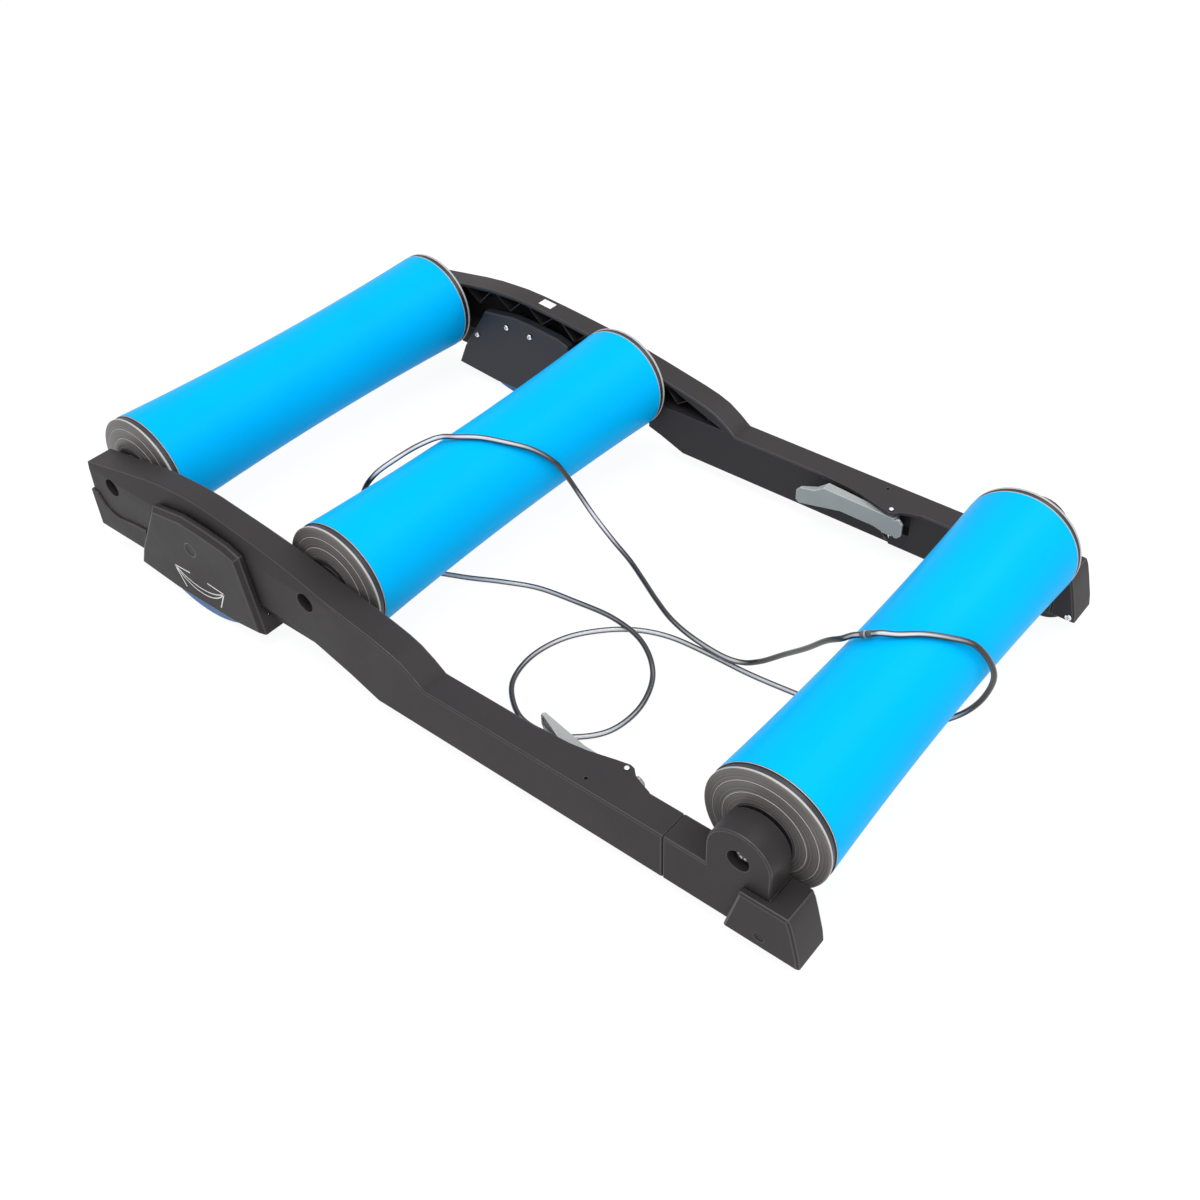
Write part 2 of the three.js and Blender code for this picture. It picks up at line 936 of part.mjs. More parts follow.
// The roller tube's radius at a Y: it is slimmest in the middle, which keeps a tyre there
const tubeRadius = (y) => rollerWaistRadius + (y / tubeHalf) ** 2 * (rollerRadius - rollerWaistRadius);

// Roller pieces, turned about an axle
function rollerTube(x) {
  const outer = [];
  for (let i = 0; i <= waistSteps; i += 1) {
    const y = tubeHalf * ((2 * i) / waistSteps - 1);
    outer.push([tubeRadius(y), y]);
  }
  const inner = outer.map(([radius, y]) => [radius - rollerWall, y]);
  return ring([...outer, ...inner.reverse()], x, axleHeight, rollerSides);
}

function endCap(x) {
  const spigotEndY = tubeHalf - capSpigotLength;
  const tubeBore = tubeRadius(spigotEndY) - rollerWall;
  const spigotRadius = tubeBore - holeClear;
  const grooveRadius = rollerRadius - capGrooveDepth;
  const seatRadius = bearingRadius + bearingClear;
  const webY = capHubY - capWebThickness;
  return ring(
    [
      [spigotRadius, spigotEndY],
      [spigotRadius, tubeHalf + seatGap],
      [rollerRadius, tubeHalf + seatGap],
      [rollerRadius, capGrooveY],
      [grooveRadius, capGrooveY],
      [grooveRadius, capGrooveEndY],
      [rollerRadius, capGrooveEndY],
      [rollerRadius, capRimY - capRimBevel],
      [rollerRadius - capRimBevel, capRimY],
      [capHubRadius, capRimY + capDome],
      [capHubRadius, capHubY],
      [seatRadius, capHubY],
      [seatRadius, bearingInnerY - seatGap],
      [capShoulderRadius, bearingInnerY - seatGap],
      [capShoulderRadius, webY],
      [spigotRadius - capSpigotWall, webY],
      [spigotRadius - capSpigotWall, spigotEndY],
    ],
    x,
    axleHeight,
    rollerSides,
  );
}

function bearing(x) {
  return ring(
    [
      [bearingBore, bearingInnerY],
      [bearingRadius, bearingInnerY],
      [bearingRadius, bearingOuterY - bearingChamfer],
      [bearingRadius - bearingChamfer, bearingOuterY],
      [bearingBore, bearingOuterY],
    ],
    x,
    axleHeight,
    pinSides,
  );
}

function axle(x, innerY) {
  const end = innerY - seatGap;
  const tapping = boltRadius + holeClear;
  const depth = boltLength;
  return turned(
    [
      [0, depth - end],
      [tapping, depth - end],
      [tapping, -end],
      [axleRadius, -end],
      [axleRadius, end],
      [tapping, end],
      [tapping, end - depth],
      [0, end - depth],
    ],
    x,
    axleHeight,
    pinSides,
  );
}

function axleBolt(x, innerY) {
  const headY = innerY + boltWebThickness + seatGap;
  const headEndY = headY + boltHeadLength;
  return turned(
    [
      [0, headY - boltLength],
      [boltRadius, headY - boltLength],
      [boltRadius, headY],
      [boltHeadRadius, headY],
      [boltHeadRadius, headEndY],
      [boltSocketRadius, headEndY],
      [boltSocketRadius, headEndY - boltSocketDepth],
      [0, headEndY - boltSocketDepth],
    ],
    x,
    axleHeight,
    screwSides,
  );
}

// Clamp lever: a channel-shaped blade on a cam that presses on the beam through the sleeve's window
function lever() {
  const tipX = leverX - leverLength;
  const peakX = leverX - leverPeakReach;
  const rootX = leverX - leverHubRadius;
  const tipY = leverY - leverTipInset;
  const rootInnerY = leverY - leverHubRadius + leverSkin;
  const tipCorner = leverSkin + weld;
  const side = [
    [tipX, leverTipBottomZ + tipCorner],
    [tipX + tipCorner, leverTipBottomZ],
    [leverX - leverArchReach, leverArchZ],
    [leverX - leverRootReach, leverRootZ],
    [leverX, leverHubBottomZ],
    [leverX, leverHubTopZ],
    [peakX, leverPeakZ],
    [tipX + leverNeckShare * (peakX - tipX), leverTipTopZ + leverSkin],
    [tipX + tipCorner, leverTipTopZ],
    [tipX, leverTipTopZ - tipCorner],
  ];
  const plan = [
    [tipX, tipY],
    [leverX, rootInnerY],
    [leverX, leverY + leverSkin],
    [rootX, leverY + leverSkin],
    [peakX, leverY + weld],
    [tipX, tipY + leverSkin],
  ];
  const blade = sideSolid(outline(side), tipY - overrun, railInnerY).intersect(
    planSolid(outline(plan), 0, archTopZ),
  );
  const channel = sideSolid(outline(inset(side, leverSkin)), tipY - overrun, railInnerY + overrun).intersect(
    planSolid(
      outline([
        [tipX, tipY + leverSkin],
        [rootX, rootInnerY + leverSkin],
        [rootX, railInnerY],
        [tipX, railInnerY],
      ]),
      0,
      archTopZ,
    ),
  );
  const cam = new THREE.Shape()
    .moveTo(leverX - leverHubRadius, leverY)
    .absarc(leverX, leverY, leverHubRadius, Math.PI, 2 * Math.PI)
    .absellipse(leverX, leverY, leverHubRadius, camReach, 0, Math.PI);
  const hub = planSolid(cam, leverHubBottomZ, leverHubTopZ).intersect(
    box(leverX - camReach, leverX + camReach, rootInnerY, leverY + camReach, 0, archTopZ),
  );
  const knobEndX = leverX + knobReach;
  const notchX = leverX + knobNotchReach;
  const knob = sideSolid(
    outline([
      [leverX, leverHubBottomZ + knobNotchDepth],
      [notchX, leverHubBottomZ + knobNotchDepth],
      [notchX + knobNotchDepth, leverHubBottomZ],
      [knobEndX - 2 * knobNotchDepth, leverHubBottomZ],
      [knobEndX, leverHubBottomZ + 2 * knobNotchDepth],
      [knobEndX, leverHubTopZ - 2 * knobNotchDepth],
      [knobEndX - 2 * knobNotchDepth, leverHubTopZ],
      [notchX + knobNotchDepth, leverHubTopZ],
      [notchX, leverHubTopZ - knobNotchDepth],
      [leverX, leverHubTopZ - knobNotchDepth],
    ]),
    rootInnerY,
    rootInnerY + knobThickness,
  );
  return cut(
    union([blade.subtract(channel), hub, knob]),
    [rodAlongZ(leverPinRadius + holeClear, leverX, leverY, 0, archTopZ)],
  );
}

// The same lever turned over about the middle of its hub
const turnedLever = () => lever().mirror([0, 0, 1]).translate([0, 0, leverHubBottomZ + leverHubTopZ]);

const leverPin = () =>
  union([
    rodAlongZ(leverPinRadius, leverX, leverY, lowerEarZ, sleeveTopZ + seatGap + weld),
    rodAlongZ(
      leverPinHeadRadius,
      leverX,
      leverY,
      sleeveTopZ + seatGap,
      sleeveTopZ + seatGap + leverPinHeadHeight,
    ),
  ]);

// The belt's route, from the front end of its sleeve round the front roller, along the floor in a
// slack loop, under and over the middle roller, and back to the sleeve
const beltRoute = [
  [330.6, -30, 133.4],
  [336.3, -28.7, 136.3],
  [347.1, -22, 136],
  [361.6, -9, 134.8],
  [376.9, 5, 129.3],
  [391.8, 19.5, 119.9],
  [402.3, 29, 102.7],
  [407, 36, 83],
  [405, 40, 64],
  [398, 40, 42],
  [386, 36, 24],
  [366, 24, 11],
  [340, 10, 5],
  [300, 0, 3.4],
  [255, -6, 3.4],
  [214, -10, 3.4],
  [167, -11, 3.4],
  [130, -14, 3.4],
  [104, -23, 3.4],
  [81, -39, 3.4],
  [56, -71, 3.4],
  [47, -108, 3.4],
  [54, -141, 3.4],
  [71, -160, 3.4],
  [92, -171, 3.4],
  [120, -170, 3.4],
  [142, -157, 3.4],
  [158, -136, 3.4],
  [162, -103, 3.6],
  [152, -70, 5],
  [137, -52, 8],
  [112, -37, 9.6],
  [76, -29, 8],
  [32, -29, 4],
  [-9, -35, 3.4],
  [-40, -48, 3.4],
  [-78, -67, 3.4],
  [-112, -84, 8],
  [-138, -98, 28],
  [-150, -106, 58],
  [-150, -108, 92],
  [-136, -102, 118],
  [-127, -83, 128],
  [-121.2, -58, 131.7],
  [-112.3, -40, 134.1],
  [-97.8, -32, 136],
  [-80.3, -19, 135.1],
  [-62.9, -4, 128.4],
  [-49.2, 13, 117.5],
  [-38.7, 30, 98.8],
  [-34, 43, 75],
  [-28, 52, 52],
  [-14, 56, 30],
  [13, 51, 16],
  [42, 41, 11],
  [69, 27, 9.6],
  [94, 13, 9.6],
  [121, 0, 9.6],
  [151, -8, 9.6],
  [188, -11, 9.6],
  [205, -9, 12],
  [221, -8, 22],
  [246, -12, 48],
  [272, -22, 78],
  [294, -31, 106],
  [308.8, -35, 119.8],
  [316.4, -33.3, 126.1],
  [322.1, -32, 129],
].map((place) => new THREE.Vector3(...place));

function belt() {
  const section = [];
  for (let i = 0; i < beltSides; i += 1) {
    const angle = (2 * Math.PI * i) / beltSides;
    section.push([beltRadius * Math.cos(angle), beltRadius * Math.sin(angle)]);
  }
  return solid(
    new THREE.ExtrudeGeometry(outline(section), {
      steps: beltSteps,
      bevelEnabled: false,
      extrudePath: new THREE.CatmullRomCurve3(beltRoute, false, "centripetal"),
    }),
  );
}

// The short sleeve that joins the belt's two ends
function beltSleeve() {
  const start = beltRoute.at(-1);
  const end = beltRoute[0];
  const along = end.clone().sub(start);
  const length = along.length() - 2 * seatGap;
  const turn = new THREE.Quaternion().setFromUnitVectors(new THREE.Vector3(0, 1, 0), along.normalize());
  const middle = start.clone().add(end).multiplyScalar(1 / 2);
  return solid(
    new THREE.CylinderGeometry(beltSleeveRadius, beltSleeveRadius, length, screwSides)
      .applyQuaternion(turn)
      .translate(middle.x, middle.y, middle.z),
  );
}

const rollers = new THREE.Group();
rollers.name = "bike_rollers";

function place(group, name, shape, material) {
  const mesh = shape.getMesh();
  const geometry = new THREE.BufferGeometry();
  geometry.setAttribute("position", new THREE.BufferAttribute(mesh.vertProperties, cornersPerFace));
  geometry.setIndex(new THREE.BufferAttribute(mesh.triVerts, 1));
  geometry.computeVertexNormals();
  const piece = new THREE.Mesh(geometry, material);
  piece.name = name;
  group.add(piece);
}

const axles = [
  { name: "rear", x: rearAxleX, innerY: railInnerY },
  { name: "middle", x: middleAxleX, innerY: railInnerY },
  { name: "front", x: frontAxleX, innerY: frontBossInnerY },
];
for (const { name, x, innerY } of axles) {
  place(rollers, `${name}_roller_tube`, rollerTube(x), rollerBlue);
  place(rollers, `${name}_axle`, axle(x, innerY), steel);
}
place(rollers, "drive_belt", belt(), beltGrey);
place(rollers, "belt_sleeve", beltSleeve(), beltGrey);

for (const side of ["left", "right"]) {
  const half = new THREE.Group();
  if (side === "right") half.scale.y = -1;
  rollers.add(half);
  place(half, `${side}_rail`, rail(), railPlastic);
  place(half, `${side}_front_slide`, frontSlide(), railPlastic);
  place(half, `${side}_foot`, foot(), railPlastic);
  place(half, `${side}_foot_screw`, smallScrew(footScrewX, footScrewZ, railInnerY), steel);
  place(half, `${side}_wheel`, wheel(), wheelRubber);
  place(half, `${side}_wheel_pin`, wheelPin(), steel);
  place(half, `${side}_outer_cover`, outerCover(), coverPlastic);
  place(half, `${side}_inner_cover`, innerCover(), coverPlastic);
  place(half, `${side}_rocker`, rocker(), rockerBlue);
  place(half, `${side}_rocker_pin`, rockerPin(), steel);
  place(half, `${side}_lever`, side === "right" ? turnedLever() : lever(), leverGrey);
  place(half, `${side}_lever_pin`, leverPin(), steel);
  coverScrewPlaces.forEach(([x, z], i) => {
    place(half, `${side}_cover_screw_${i + 1}`, smallScrew(x, z, innerCoverY), steel);
  });
  for (const { name, x, innerY } of axles) {
    place(half, `${name}_${side}_cap`, endCap(x), capGrey);
    place(half, `${name}_${side}_bearing`, bearing(x), steel);
    place(half, `${name}_${side}_bolt`, axleBolt(x, innerY), steel);
  }
}

export default rollers;
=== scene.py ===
import math

import bmesh
import bpy
from mathutils import Matrix, Vector
from mathutils.bvhtree import BVHTree


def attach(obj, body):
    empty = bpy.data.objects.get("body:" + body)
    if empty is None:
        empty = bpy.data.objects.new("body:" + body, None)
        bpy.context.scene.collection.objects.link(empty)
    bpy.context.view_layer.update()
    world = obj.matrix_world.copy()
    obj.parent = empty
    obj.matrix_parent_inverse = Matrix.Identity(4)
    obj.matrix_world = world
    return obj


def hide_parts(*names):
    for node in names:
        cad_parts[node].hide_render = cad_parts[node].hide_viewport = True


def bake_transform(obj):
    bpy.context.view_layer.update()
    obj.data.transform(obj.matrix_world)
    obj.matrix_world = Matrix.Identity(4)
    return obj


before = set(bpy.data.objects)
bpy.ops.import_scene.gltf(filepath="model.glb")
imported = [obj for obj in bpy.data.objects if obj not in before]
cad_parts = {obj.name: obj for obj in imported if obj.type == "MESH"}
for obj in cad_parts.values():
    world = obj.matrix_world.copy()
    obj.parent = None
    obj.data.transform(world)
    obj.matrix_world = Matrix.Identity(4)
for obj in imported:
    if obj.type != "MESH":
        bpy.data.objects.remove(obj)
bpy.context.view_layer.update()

# A set of bike rollers, pushed in to its short length. Sizes are in millimetres times mm.
# +X points to the single front roller, +Y to the left and +Z up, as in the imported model.
mm = 0.001
scene = bpy.context.scene

# The camera stands off the front right corner and looks down across the set.
# Its place, turn, dip, roll and lens are those of the photograph.
camera_place = Vector((656.8, -736.8, 846.7)) * mm
camera_turn = 0.699
camera_dip = 0.7284
camera_roll = -0.03385
camera_data = bpy.data.cameras.new("camera")
camera_data.sensor_width = 36
camera_data.lens = 41.04
camera = bpy.data.objects.new("camera", camera_data)
scene.collection.objects.link(camera)
camera.matrix_world = (
    Matrix.Translation(camera_place)
    @ Matrix.Rotation(camera_turn, 4, "Z")
    @ Matrix.Rotation(math.pi / 2 - camera_dip, 4, "X")
    @ Matrix.Rotation(camera_roll, 4, "Z")
)
scene.camera = camera

# The drive belt is one round cord of glossy grey plastic that turns the front roller.
# It is cut to length and its two ends are pushed into a short sleeve and joined there.
# It lies loose: over the front roller, in a slack loop on the floor, round the middle one.
belt_diameter = 5
belt_sides = 20
belt_steps = 7
belt_places = (
    (330.6, -30, 133.4), (336.3, -28.7, 136.3), (347.1, -22, 136), (361.6, -9, 134.8), (376.9, 5, 129.3),
    (391.8, 19.5, 119.9), (402.3, 29, 102.7), (407, 36, 83), (405, 40, 64), (398, 40, 42), (386, 36, 24),
    (366, 24, 11), (340, 10, 5), (300, 0, 3.4), (255, -6, 3.4), (214, -10, 3.4), (167, -11, 3.4),
    (130, -14, 3.4), (104, -23, 3.4), (81, -39, 3.4), (56, -71, 3.4), (47, -108, 3.4), (54, -141, 3.4),
    (71, -160, 3.4), (92, -171, 3.4), (120, -170, 3.4), (142, -157, 3.4), (158, -136, 3.4),
    (162, -103, 3.6), (152, -70, 5), (137, -52, 8), (112, -37, 9.6), (76, -29, 8), (32, -29, 4),
    (-9, -35, 3.4), (-40, -48, 3.4), (-78, -67, 3.4), (-112, -84, 8), (-138, -98, 28), (-150, -106, 58),
    (-150, -108, 92), (-136, -102, 118), (-127, -83, 128), (-121.2, -58, 131.7), (-112.3, -40, 134.1),
    (-97.8, -32, 136), (-80.3, -19, 135.1), (-62.9, -4, 128.4), (-49.2, 13, 117.5), (-38.7, 30, 98.8),
    (-34, 43, 75), (-28, 52, 52), (-14, 56, 30), (13, 51, 16), (42, 41, 11), (69, 27, 9.6), (94, 13, 9.6),
    (121, 0, 9.6), (151, -8, 9.6), (188, -11, 9.6), (205, -9, 12), (221, -8, 22), (246, -12, 48),
    (272, -22, 78), (294, -31, 106), (308.8, -35, 119.8), (316.4, -33.3, 126.1), (322.1, -32, 129),
)


def lined(places, steps):
    """A smooth line through the places: it passes each one and slows where they crowd."""
    ends = [2 * places[0] - places[1], *places, 2 * places[-1] - places[-2]]
    line = []
    for before, start, end, after in zip(ends, ends[1:], ends[2:], ends[3:]):
        knots = [0.0]
        for a, b in ((before, start), (start, end), (end, after)):
            knots.append(knots[-1] + math.sqrt((b - a).length))
        k0, k1, k2, k3 = knots
        for step in range(steps):
            t = k1 + (k2 - k1) * step / steps
            first = before.lerp(start, (t - k0) / (k1 - k0))
            second = start.lerp(end, (t - k1) / (k2 - k1))
            third = end.lerp(after, (t - k2) / (k3 - k2))
            low = first.lerp(second, (t - k0) / (k2 - k0))
            high = second.lerp(third, (t - k1) / (k3 - k1))
            line.append(low.lerp(high, (t - k1) / (k2 - k1)))
    return [*line, places[-1]]


def put(tree, kind, inputs=None, **settings):
    """Adds a node with its settings. An input, by name or number, is linked or given a value."""
    node = tree.nodes.new(kind)
    for name, value in settings.items():
        setattr(node, name, value)
    for socket, value in (inputs or {}).items():
        if isinstance(value, bpy.types.NodeSocket):
            tree.links.new(value, node.inputs[socket])
        else:
            node.inputs[socket].default_value = value
    return node


def new_group(name, kind, inputs, outputs):
    """A node group with named inputs and outputs, and its two end nodes."""
    group = bpy.data.node_groups.new(name, kind)
    for label, socket_kind in inputs.items():
        group.interface.new_socket(label, in_out="INPUT", socket_type="NodeSocket" + socket_kind)
    for label, socket_kind in outputs.items():
        group.interface.new_socket(label, in_out="OUTPUT", socket_type="NodeSocket" + socket_kind)
    return group, put(group, "NodeGroupInput").outputs, put(group, "NodeGroupOutput").inputs


def placed(name, data):
    """A new object in the scene that holds a mesh or a lamp."""
    holder = bpy.data.objects.new(name, data)
    scene.collection.objects.link(holder)
    return holder


def settled(holder):
    """The mesh that an object's modifiers make of its own. The object is taken away."""
    mesh = bpy.data.meshes.new_from_object(holder.evaluated_get(bpy.context.evaluated_depsgraph_get()))
    holder.modifiers.clear()
    bpy.data.objects.remove(holder)
    return mesh


def grown(tree, base, sizes):
    """The plain mesh that a geometry tree makes of a base mesh with its named sizes."""
    carrier = placed("carrier", base)
    growth = carrier.modifiers.new("growth", "NODES")
    growth.node_group = tree
    for socket in tree.interface.items_tree:
        if socket.name in sizes:
            growth[socket.identifier] = sizes[socket.name]
    return settled(carrier)


def finish_tree(tree, geometry, material, leave):
    """The last two nodes of each geometry tree."""
    real = put(tree, "GeometryNodeRealizeInstances", {0: geometry})
    made = put(tree, "GeometryNodeSetMaterial", {"Geometry": real.outputs[0], "Material": material})
    tree.links.new(made.outputs[0], leave[0])


def skin_group():
    """Moulded plastic or rubber: cloudy colour, fine grain and uneven gloss."""
    inputs = {
        "Place": "Vector", "Colour": "Color", "Rubbed Colour": "Color", "Cloud Scale": "Float",
        "Grain Scale": "Float", "Grain Height": "Float", "Low Roughness": "Float", "High Roughness": "Float",
    }
    outputs = {"Colour": "Color", "Roughness": "Float", "Normal": "Vector"}
    group, enter, leave = new_group("moulded_skin", "ShaderNodeTree", inputs, outputs)
    cloud = put(group, "ShaderNodeTexNoise", {
        "Vector": enter["Place"], "Scale": enter["Cloud Scale"], "Detail": 5.0, "Roughness": 0.6,
    })
    cloudy = put(group, "ShaderNodeMapRange", {
        "Value": cloud.outputs[0], "From Min": 0.35, "From Max": 0.68,
    })
    grain = put(group, "ShaderNodeTexNoise", {
        "Vector": enter["Place"], "Scale": enter["Grain Scale"], "Detail": 2.0,
    })
    colour = put(group, "ShaderNodeMix", {
        0: cloudy.outputs[0], 6: enter["Colour"], 7: enter["Rubbed Colour"],
    }, data_type="RGBA")
    both = put(group, "ShaderNodeMath", {0: grain.outputs[0], 1: cloudy.outputs[0]}, operation="ADD")
    gloss = put(group, "ShaderNodeMapRange", {
        "Value": both.outputs[0], "From Min": 0.4, "From Max": 1.5,
        "To Min": enter["Low Roughness"], "To Max": enter["High Roughness"],
    })
    bump = put(group, "ShaderNodeBump", {
        "Strength": 1.0, "Distance": enter["Grain Height"], "Height": grain.outputs[0],
    })
    group.links.new(colour.outputs[2], leave["Colour"])
    group.links.new(gloss.outputs[0], leave["Roughness"])
    group.links.new(bump.outputs[0], leave["Normal"])
    return group


moulded_skin = skin_group()


def tone(red, green, blue):
    """A colour from 0 to 255 as the renderer's linear colour."""
    def linear(value):
        share = value / 255
        return share / 12.92 if share < 0.04045 else ((share + 0.055) / 1.055) ** 2.4
    return (linear(red), linear(green), linear(blue), 1.0)


def new_material(name, constants):
    """A material with its shader's constants set, its node tree and the place of each point."""
    material = bpy.data.materials.new(name)
    material.use_nodes = True
    tree = material.node_tree
    for socket, value in constants.items():
        tree.nodes["Principled BSDF"].inputs[socket.replace("_", " ")].default_value = value
    return material, tree, put(tree, "ShaderNodeTexCoord").outputs["Object"]


def dress(tree, colour, roughness, normal):
    """Leads a colour, a roughness and a normal to the shader of a material."""
    for socket, source in (("Base Color", colour), ("Roughness", roughness), ("Normal", normal)):
        tree.links.new(source, tree.nodes["Principled BSDF"].inputs[socket])


def moulded(name, colour, rubbed, gloss, cloud=14.0, grain=1500.0, height=0.04, **constants):
    """A material of moulded plastic or rubber, with its own colours, gloss and grain."""
    material, tree, place = new_material(name, constants)
    skin = put(tree, "ShaderNodeGroup", {
        "Place": place, "Colour": colour, "Rubbed Colour": rubbed,
        "Cloud Scale": cloud, "Grain Scale": grain, "Grain Height": height * mm,
        "Low Roughness": gloss[0], "High Roughness": gloss[1],
    }, node_tree=moulded_skin)
    dress(tree, skin.outputs["Colour"], skin.outputs["Roughness"], skin.outputs["Normal"])
    return material


def cord_tree():
    """A tube that follows a line."""
    inputs = {"Geometry": "Geometry", "Radius": "Float", "Sides": "Int", "Material": "Material"}
    tree, enter, leave = new_group("cord", "GeometryNodeTree", inputs, {"Geometry": "Geometry"})
    line = put(tree, "GeometryNodeMeshToCurve", {0: enter["Geometry"]})
    section = put(tree, "GeometryNodeCurvePrimitiveCircle", {
        "Resolution": enter["Sides"], "Radius": enter["Radius"],
    })
    tube = put(tree, "GeometryNodeCurveToMesh", {
        "Curve": line.outputs[0], "Profile Curve": section.outputs[0], "Fill Caps": True,
    })
    smooth = put(tree, "GeometryNodeSetShadeSmooth", {0: tube.outputs[0]})
    finish_tree(tree, smooth.outputs[0], enter["Material"], leave)
    return tree


def cord_finish():
    """Glossy grey plastic with a painted highlight: its colour turns light along the middle of the cord,
    where it faces the camera.
    """
    material = moulded(
        "belt_cord", tone(34, 33, 35), tone(42, 41, 43), (0.16, 0.26), cloud=40.0, grain=900.0, height=0.006,
        Specular_IOR_Level=0.4, Coat_Weight=0.3, Coat_Roughness=0.06,
    )
    tree = material.node_tree
    colour = tree.nodes["Principled BSDF"].inputs["Base Color"]
    # Painted highlight: a mask that is 1 where the cord faces the camera lightens its colour there.
    edge = put(tree, "ShaderNodeLayerWeight", {"Blend": 0.5})
    middle = put(tree, "ShaderNodeMapRange", {
        "Value": edge.outputs["Facing"], "From Min": 0.05, "From Max": 0.24, "To Min": 1.0, "To Max": 0.0,
    })
    painted_highlight = put(tree, "ShaderNodeMix", {
        0: middle.outputs[0], 6: colour.links[0].from_socket, 7: tone(214, 214, 218),
    }, data_type="RGBA")
    tree.links.new(painted_highlight.outputs[2], colour)
    return material


belt_plastic = cord_finish()
belt_path = lined([Vector(place) * mm for place in belt_places], belt_steps)
belt_line = bpy.data.meshes.new("belt_line")
belt_line.from_pydata(belt_path, [(i, i + 1) for i in range(len(belt_path) - 1)], [])
belt_mesh = grown(cord_tree(), belt_line, {
    "Radius": belt_diameter / 2 * mm, "Sides": belt_sides, "Material": belt_plastic,
})
belt = placed("belt", belt_mesh)

# The sleeve that joins the belt's ends is a short thin tube of clear grey plastic, shrunk on tight.
# Its rear end has a pale rim, with a groove in front, and it sits on top of the front roller.
sleeve_radius = 3.05
sleeve_lip = 2.6
sleeve_edge = 0.5
sleeve_end_gap = 0.3
sleeve_rim_rear = -1.3
sleeve_rim_front = -0.2
sleeve_groove_width = 1


def turned(rows, finishes, sides=96, recess=None):
    """A solid turned about the Y axis. A row is the outline's (radius, y, finish of the face after it),
    and a fourth value marks a row whose radius follows the recess, a share for each angle."""
    corners, rings, faces, looks = [], [], [], []
    for radius, y, _, *shaped in rows:
        start = len(corners)
        count = sides if radius else 1
        for i in range(count):
            angle = 2 * math.pi * i / sides
            reach = radius * (recess(angle) if shaped else 1)
            corners.append((reach * mm * math.cos(angle), y * mm, reach * mm * math.sin(angle)))
        rings.append([start + (i if radius else 0) for i in range(sides)])
    if rows[0][0]:
        rings.append(rings[0])
    for low, high, row in zip(rings, rings[1:], rows):
        for i in range(sides):
            j = (i + 1) % sides
            face = list(dict.fromkeys((low[i], low[j], high[j], high[i])))
            if len(face) > 2:
                faces.append(face)
                looks.append(row[2])
    mesh = bpy.data.meshes.new("turned")
    mesh.from_pydata(corners, [], faces)
    mesh.polygons.foreach_set("material_index", looks)
    for finish in finishes:
        mesh.materials.append(finish)
    return outward(mesh)


def outward(mesh, sharp=32):
    """Turns the faces outwards and shades them smooth up to an angle in degrees."""
    form = bmesh.new()
    form.from_mesh(mesh)
    bmesh.ops.recalc_face_normals(form, faces=form.faces)
    form.to_mesh(mesh)
    form.free()
    mesh.shade_smooth()
    mesh.set_sharp_from_angle(angle=math.radians(sharp))
    return mesh


def add_piece(name, mesh, body, stands_for=()):
    """Shows a mesh as a piece that moves with a body, in place of its plain solids."""
    piece = placed(name, mesh)
    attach(piece, body)
    if stands_for:
        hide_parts(*stands_for)
    return piece


def sleeve_look(name, dark, light, gloss):
    """A finish of the sleeve's fine-grained plastic."""
    return moulded(f"belt_sleeve_{name}", dark, light, gloss, cloud=60.0, grain=1200.0, height=0.01)


sleeve_start = Vector(belt_places[-1]) * mm
sleeve_end = Vector(belt_places[0]) * mm
sleeve_half = (sleeve_end - sleeve_start).length / 2 / mm - sleeve_end_gap
skin, rim, groove = range(3)
sleeve_rows = [
    (0, -sleeve_half, skin), (sleeve_lip, -sleeve_half, skin),
    (sleeve_radius, sleeve_edge - sleeve_half, skin), (sleeve_radius, sleeve_rim_rear, rim),
    (sleeve_radius, sleeve_rim_front, rim), (sleeve_lip, 0, groove),
    (sleeve_lip, sleeve_groove_width, groove), (sleeve_radius, sleeve_groove_width + 0.2, skin),
    (sleeve_radius, sleeve_half - sleeve_edge, skin), (sleeve_lip, sleeve_half, skin),
    (0, sleeve_half, skin),
]
sleeve_mesh = turned(sleeve_rows, [
    sleeve_look("plastic", tone(80, 80, 82), tone(92, 92, 94), (0.16, 0.28)),
    sleeve_look("rim", tone(150, 156, 160), tone(170, 176, 180), (0.3, 0.4)),
    sleeve_look("groove", tone(22, 22, 23), tone(30, 30, 31), (0.5, 0.6)),
], sides=32)
sleeve_turn = Vector((0, 1, 0)).rotation_difference(sleeve_end - sleeve_start)
sleeve_mesh.transform(Matrix.Translation((sleeve_start + sleeve_end) / 2) @ sleeve_turn.to_matrix().to_4x4())
sleeve = add_piece("belt_joining_sleeve", sleeve_mesh, "front_section", ["belt_sleeve"])

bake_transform(belt)
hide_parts("drive_belt")

# The three rollers are blue plastic tubes, drawn in towards the middle so that a tyre stays there.
# Each is extruded and turned to shape, and an end cap is pressed into either end.
tube_radius = 53.5
tube_waist = 49
tube_length = 384
tube_wall = 3
axle_height = 83.5
tube_sides = 128
tube_rings = 48
rollers = {
    "rear": {"x": -357, "carrier": "frame", "inner_face": 207},
    "middle": {"x": -90, "carrier": "frame", "inner_face": 207},
    "front": {"x": 351, "carrier": "front_section", "inner_face": 209},
}


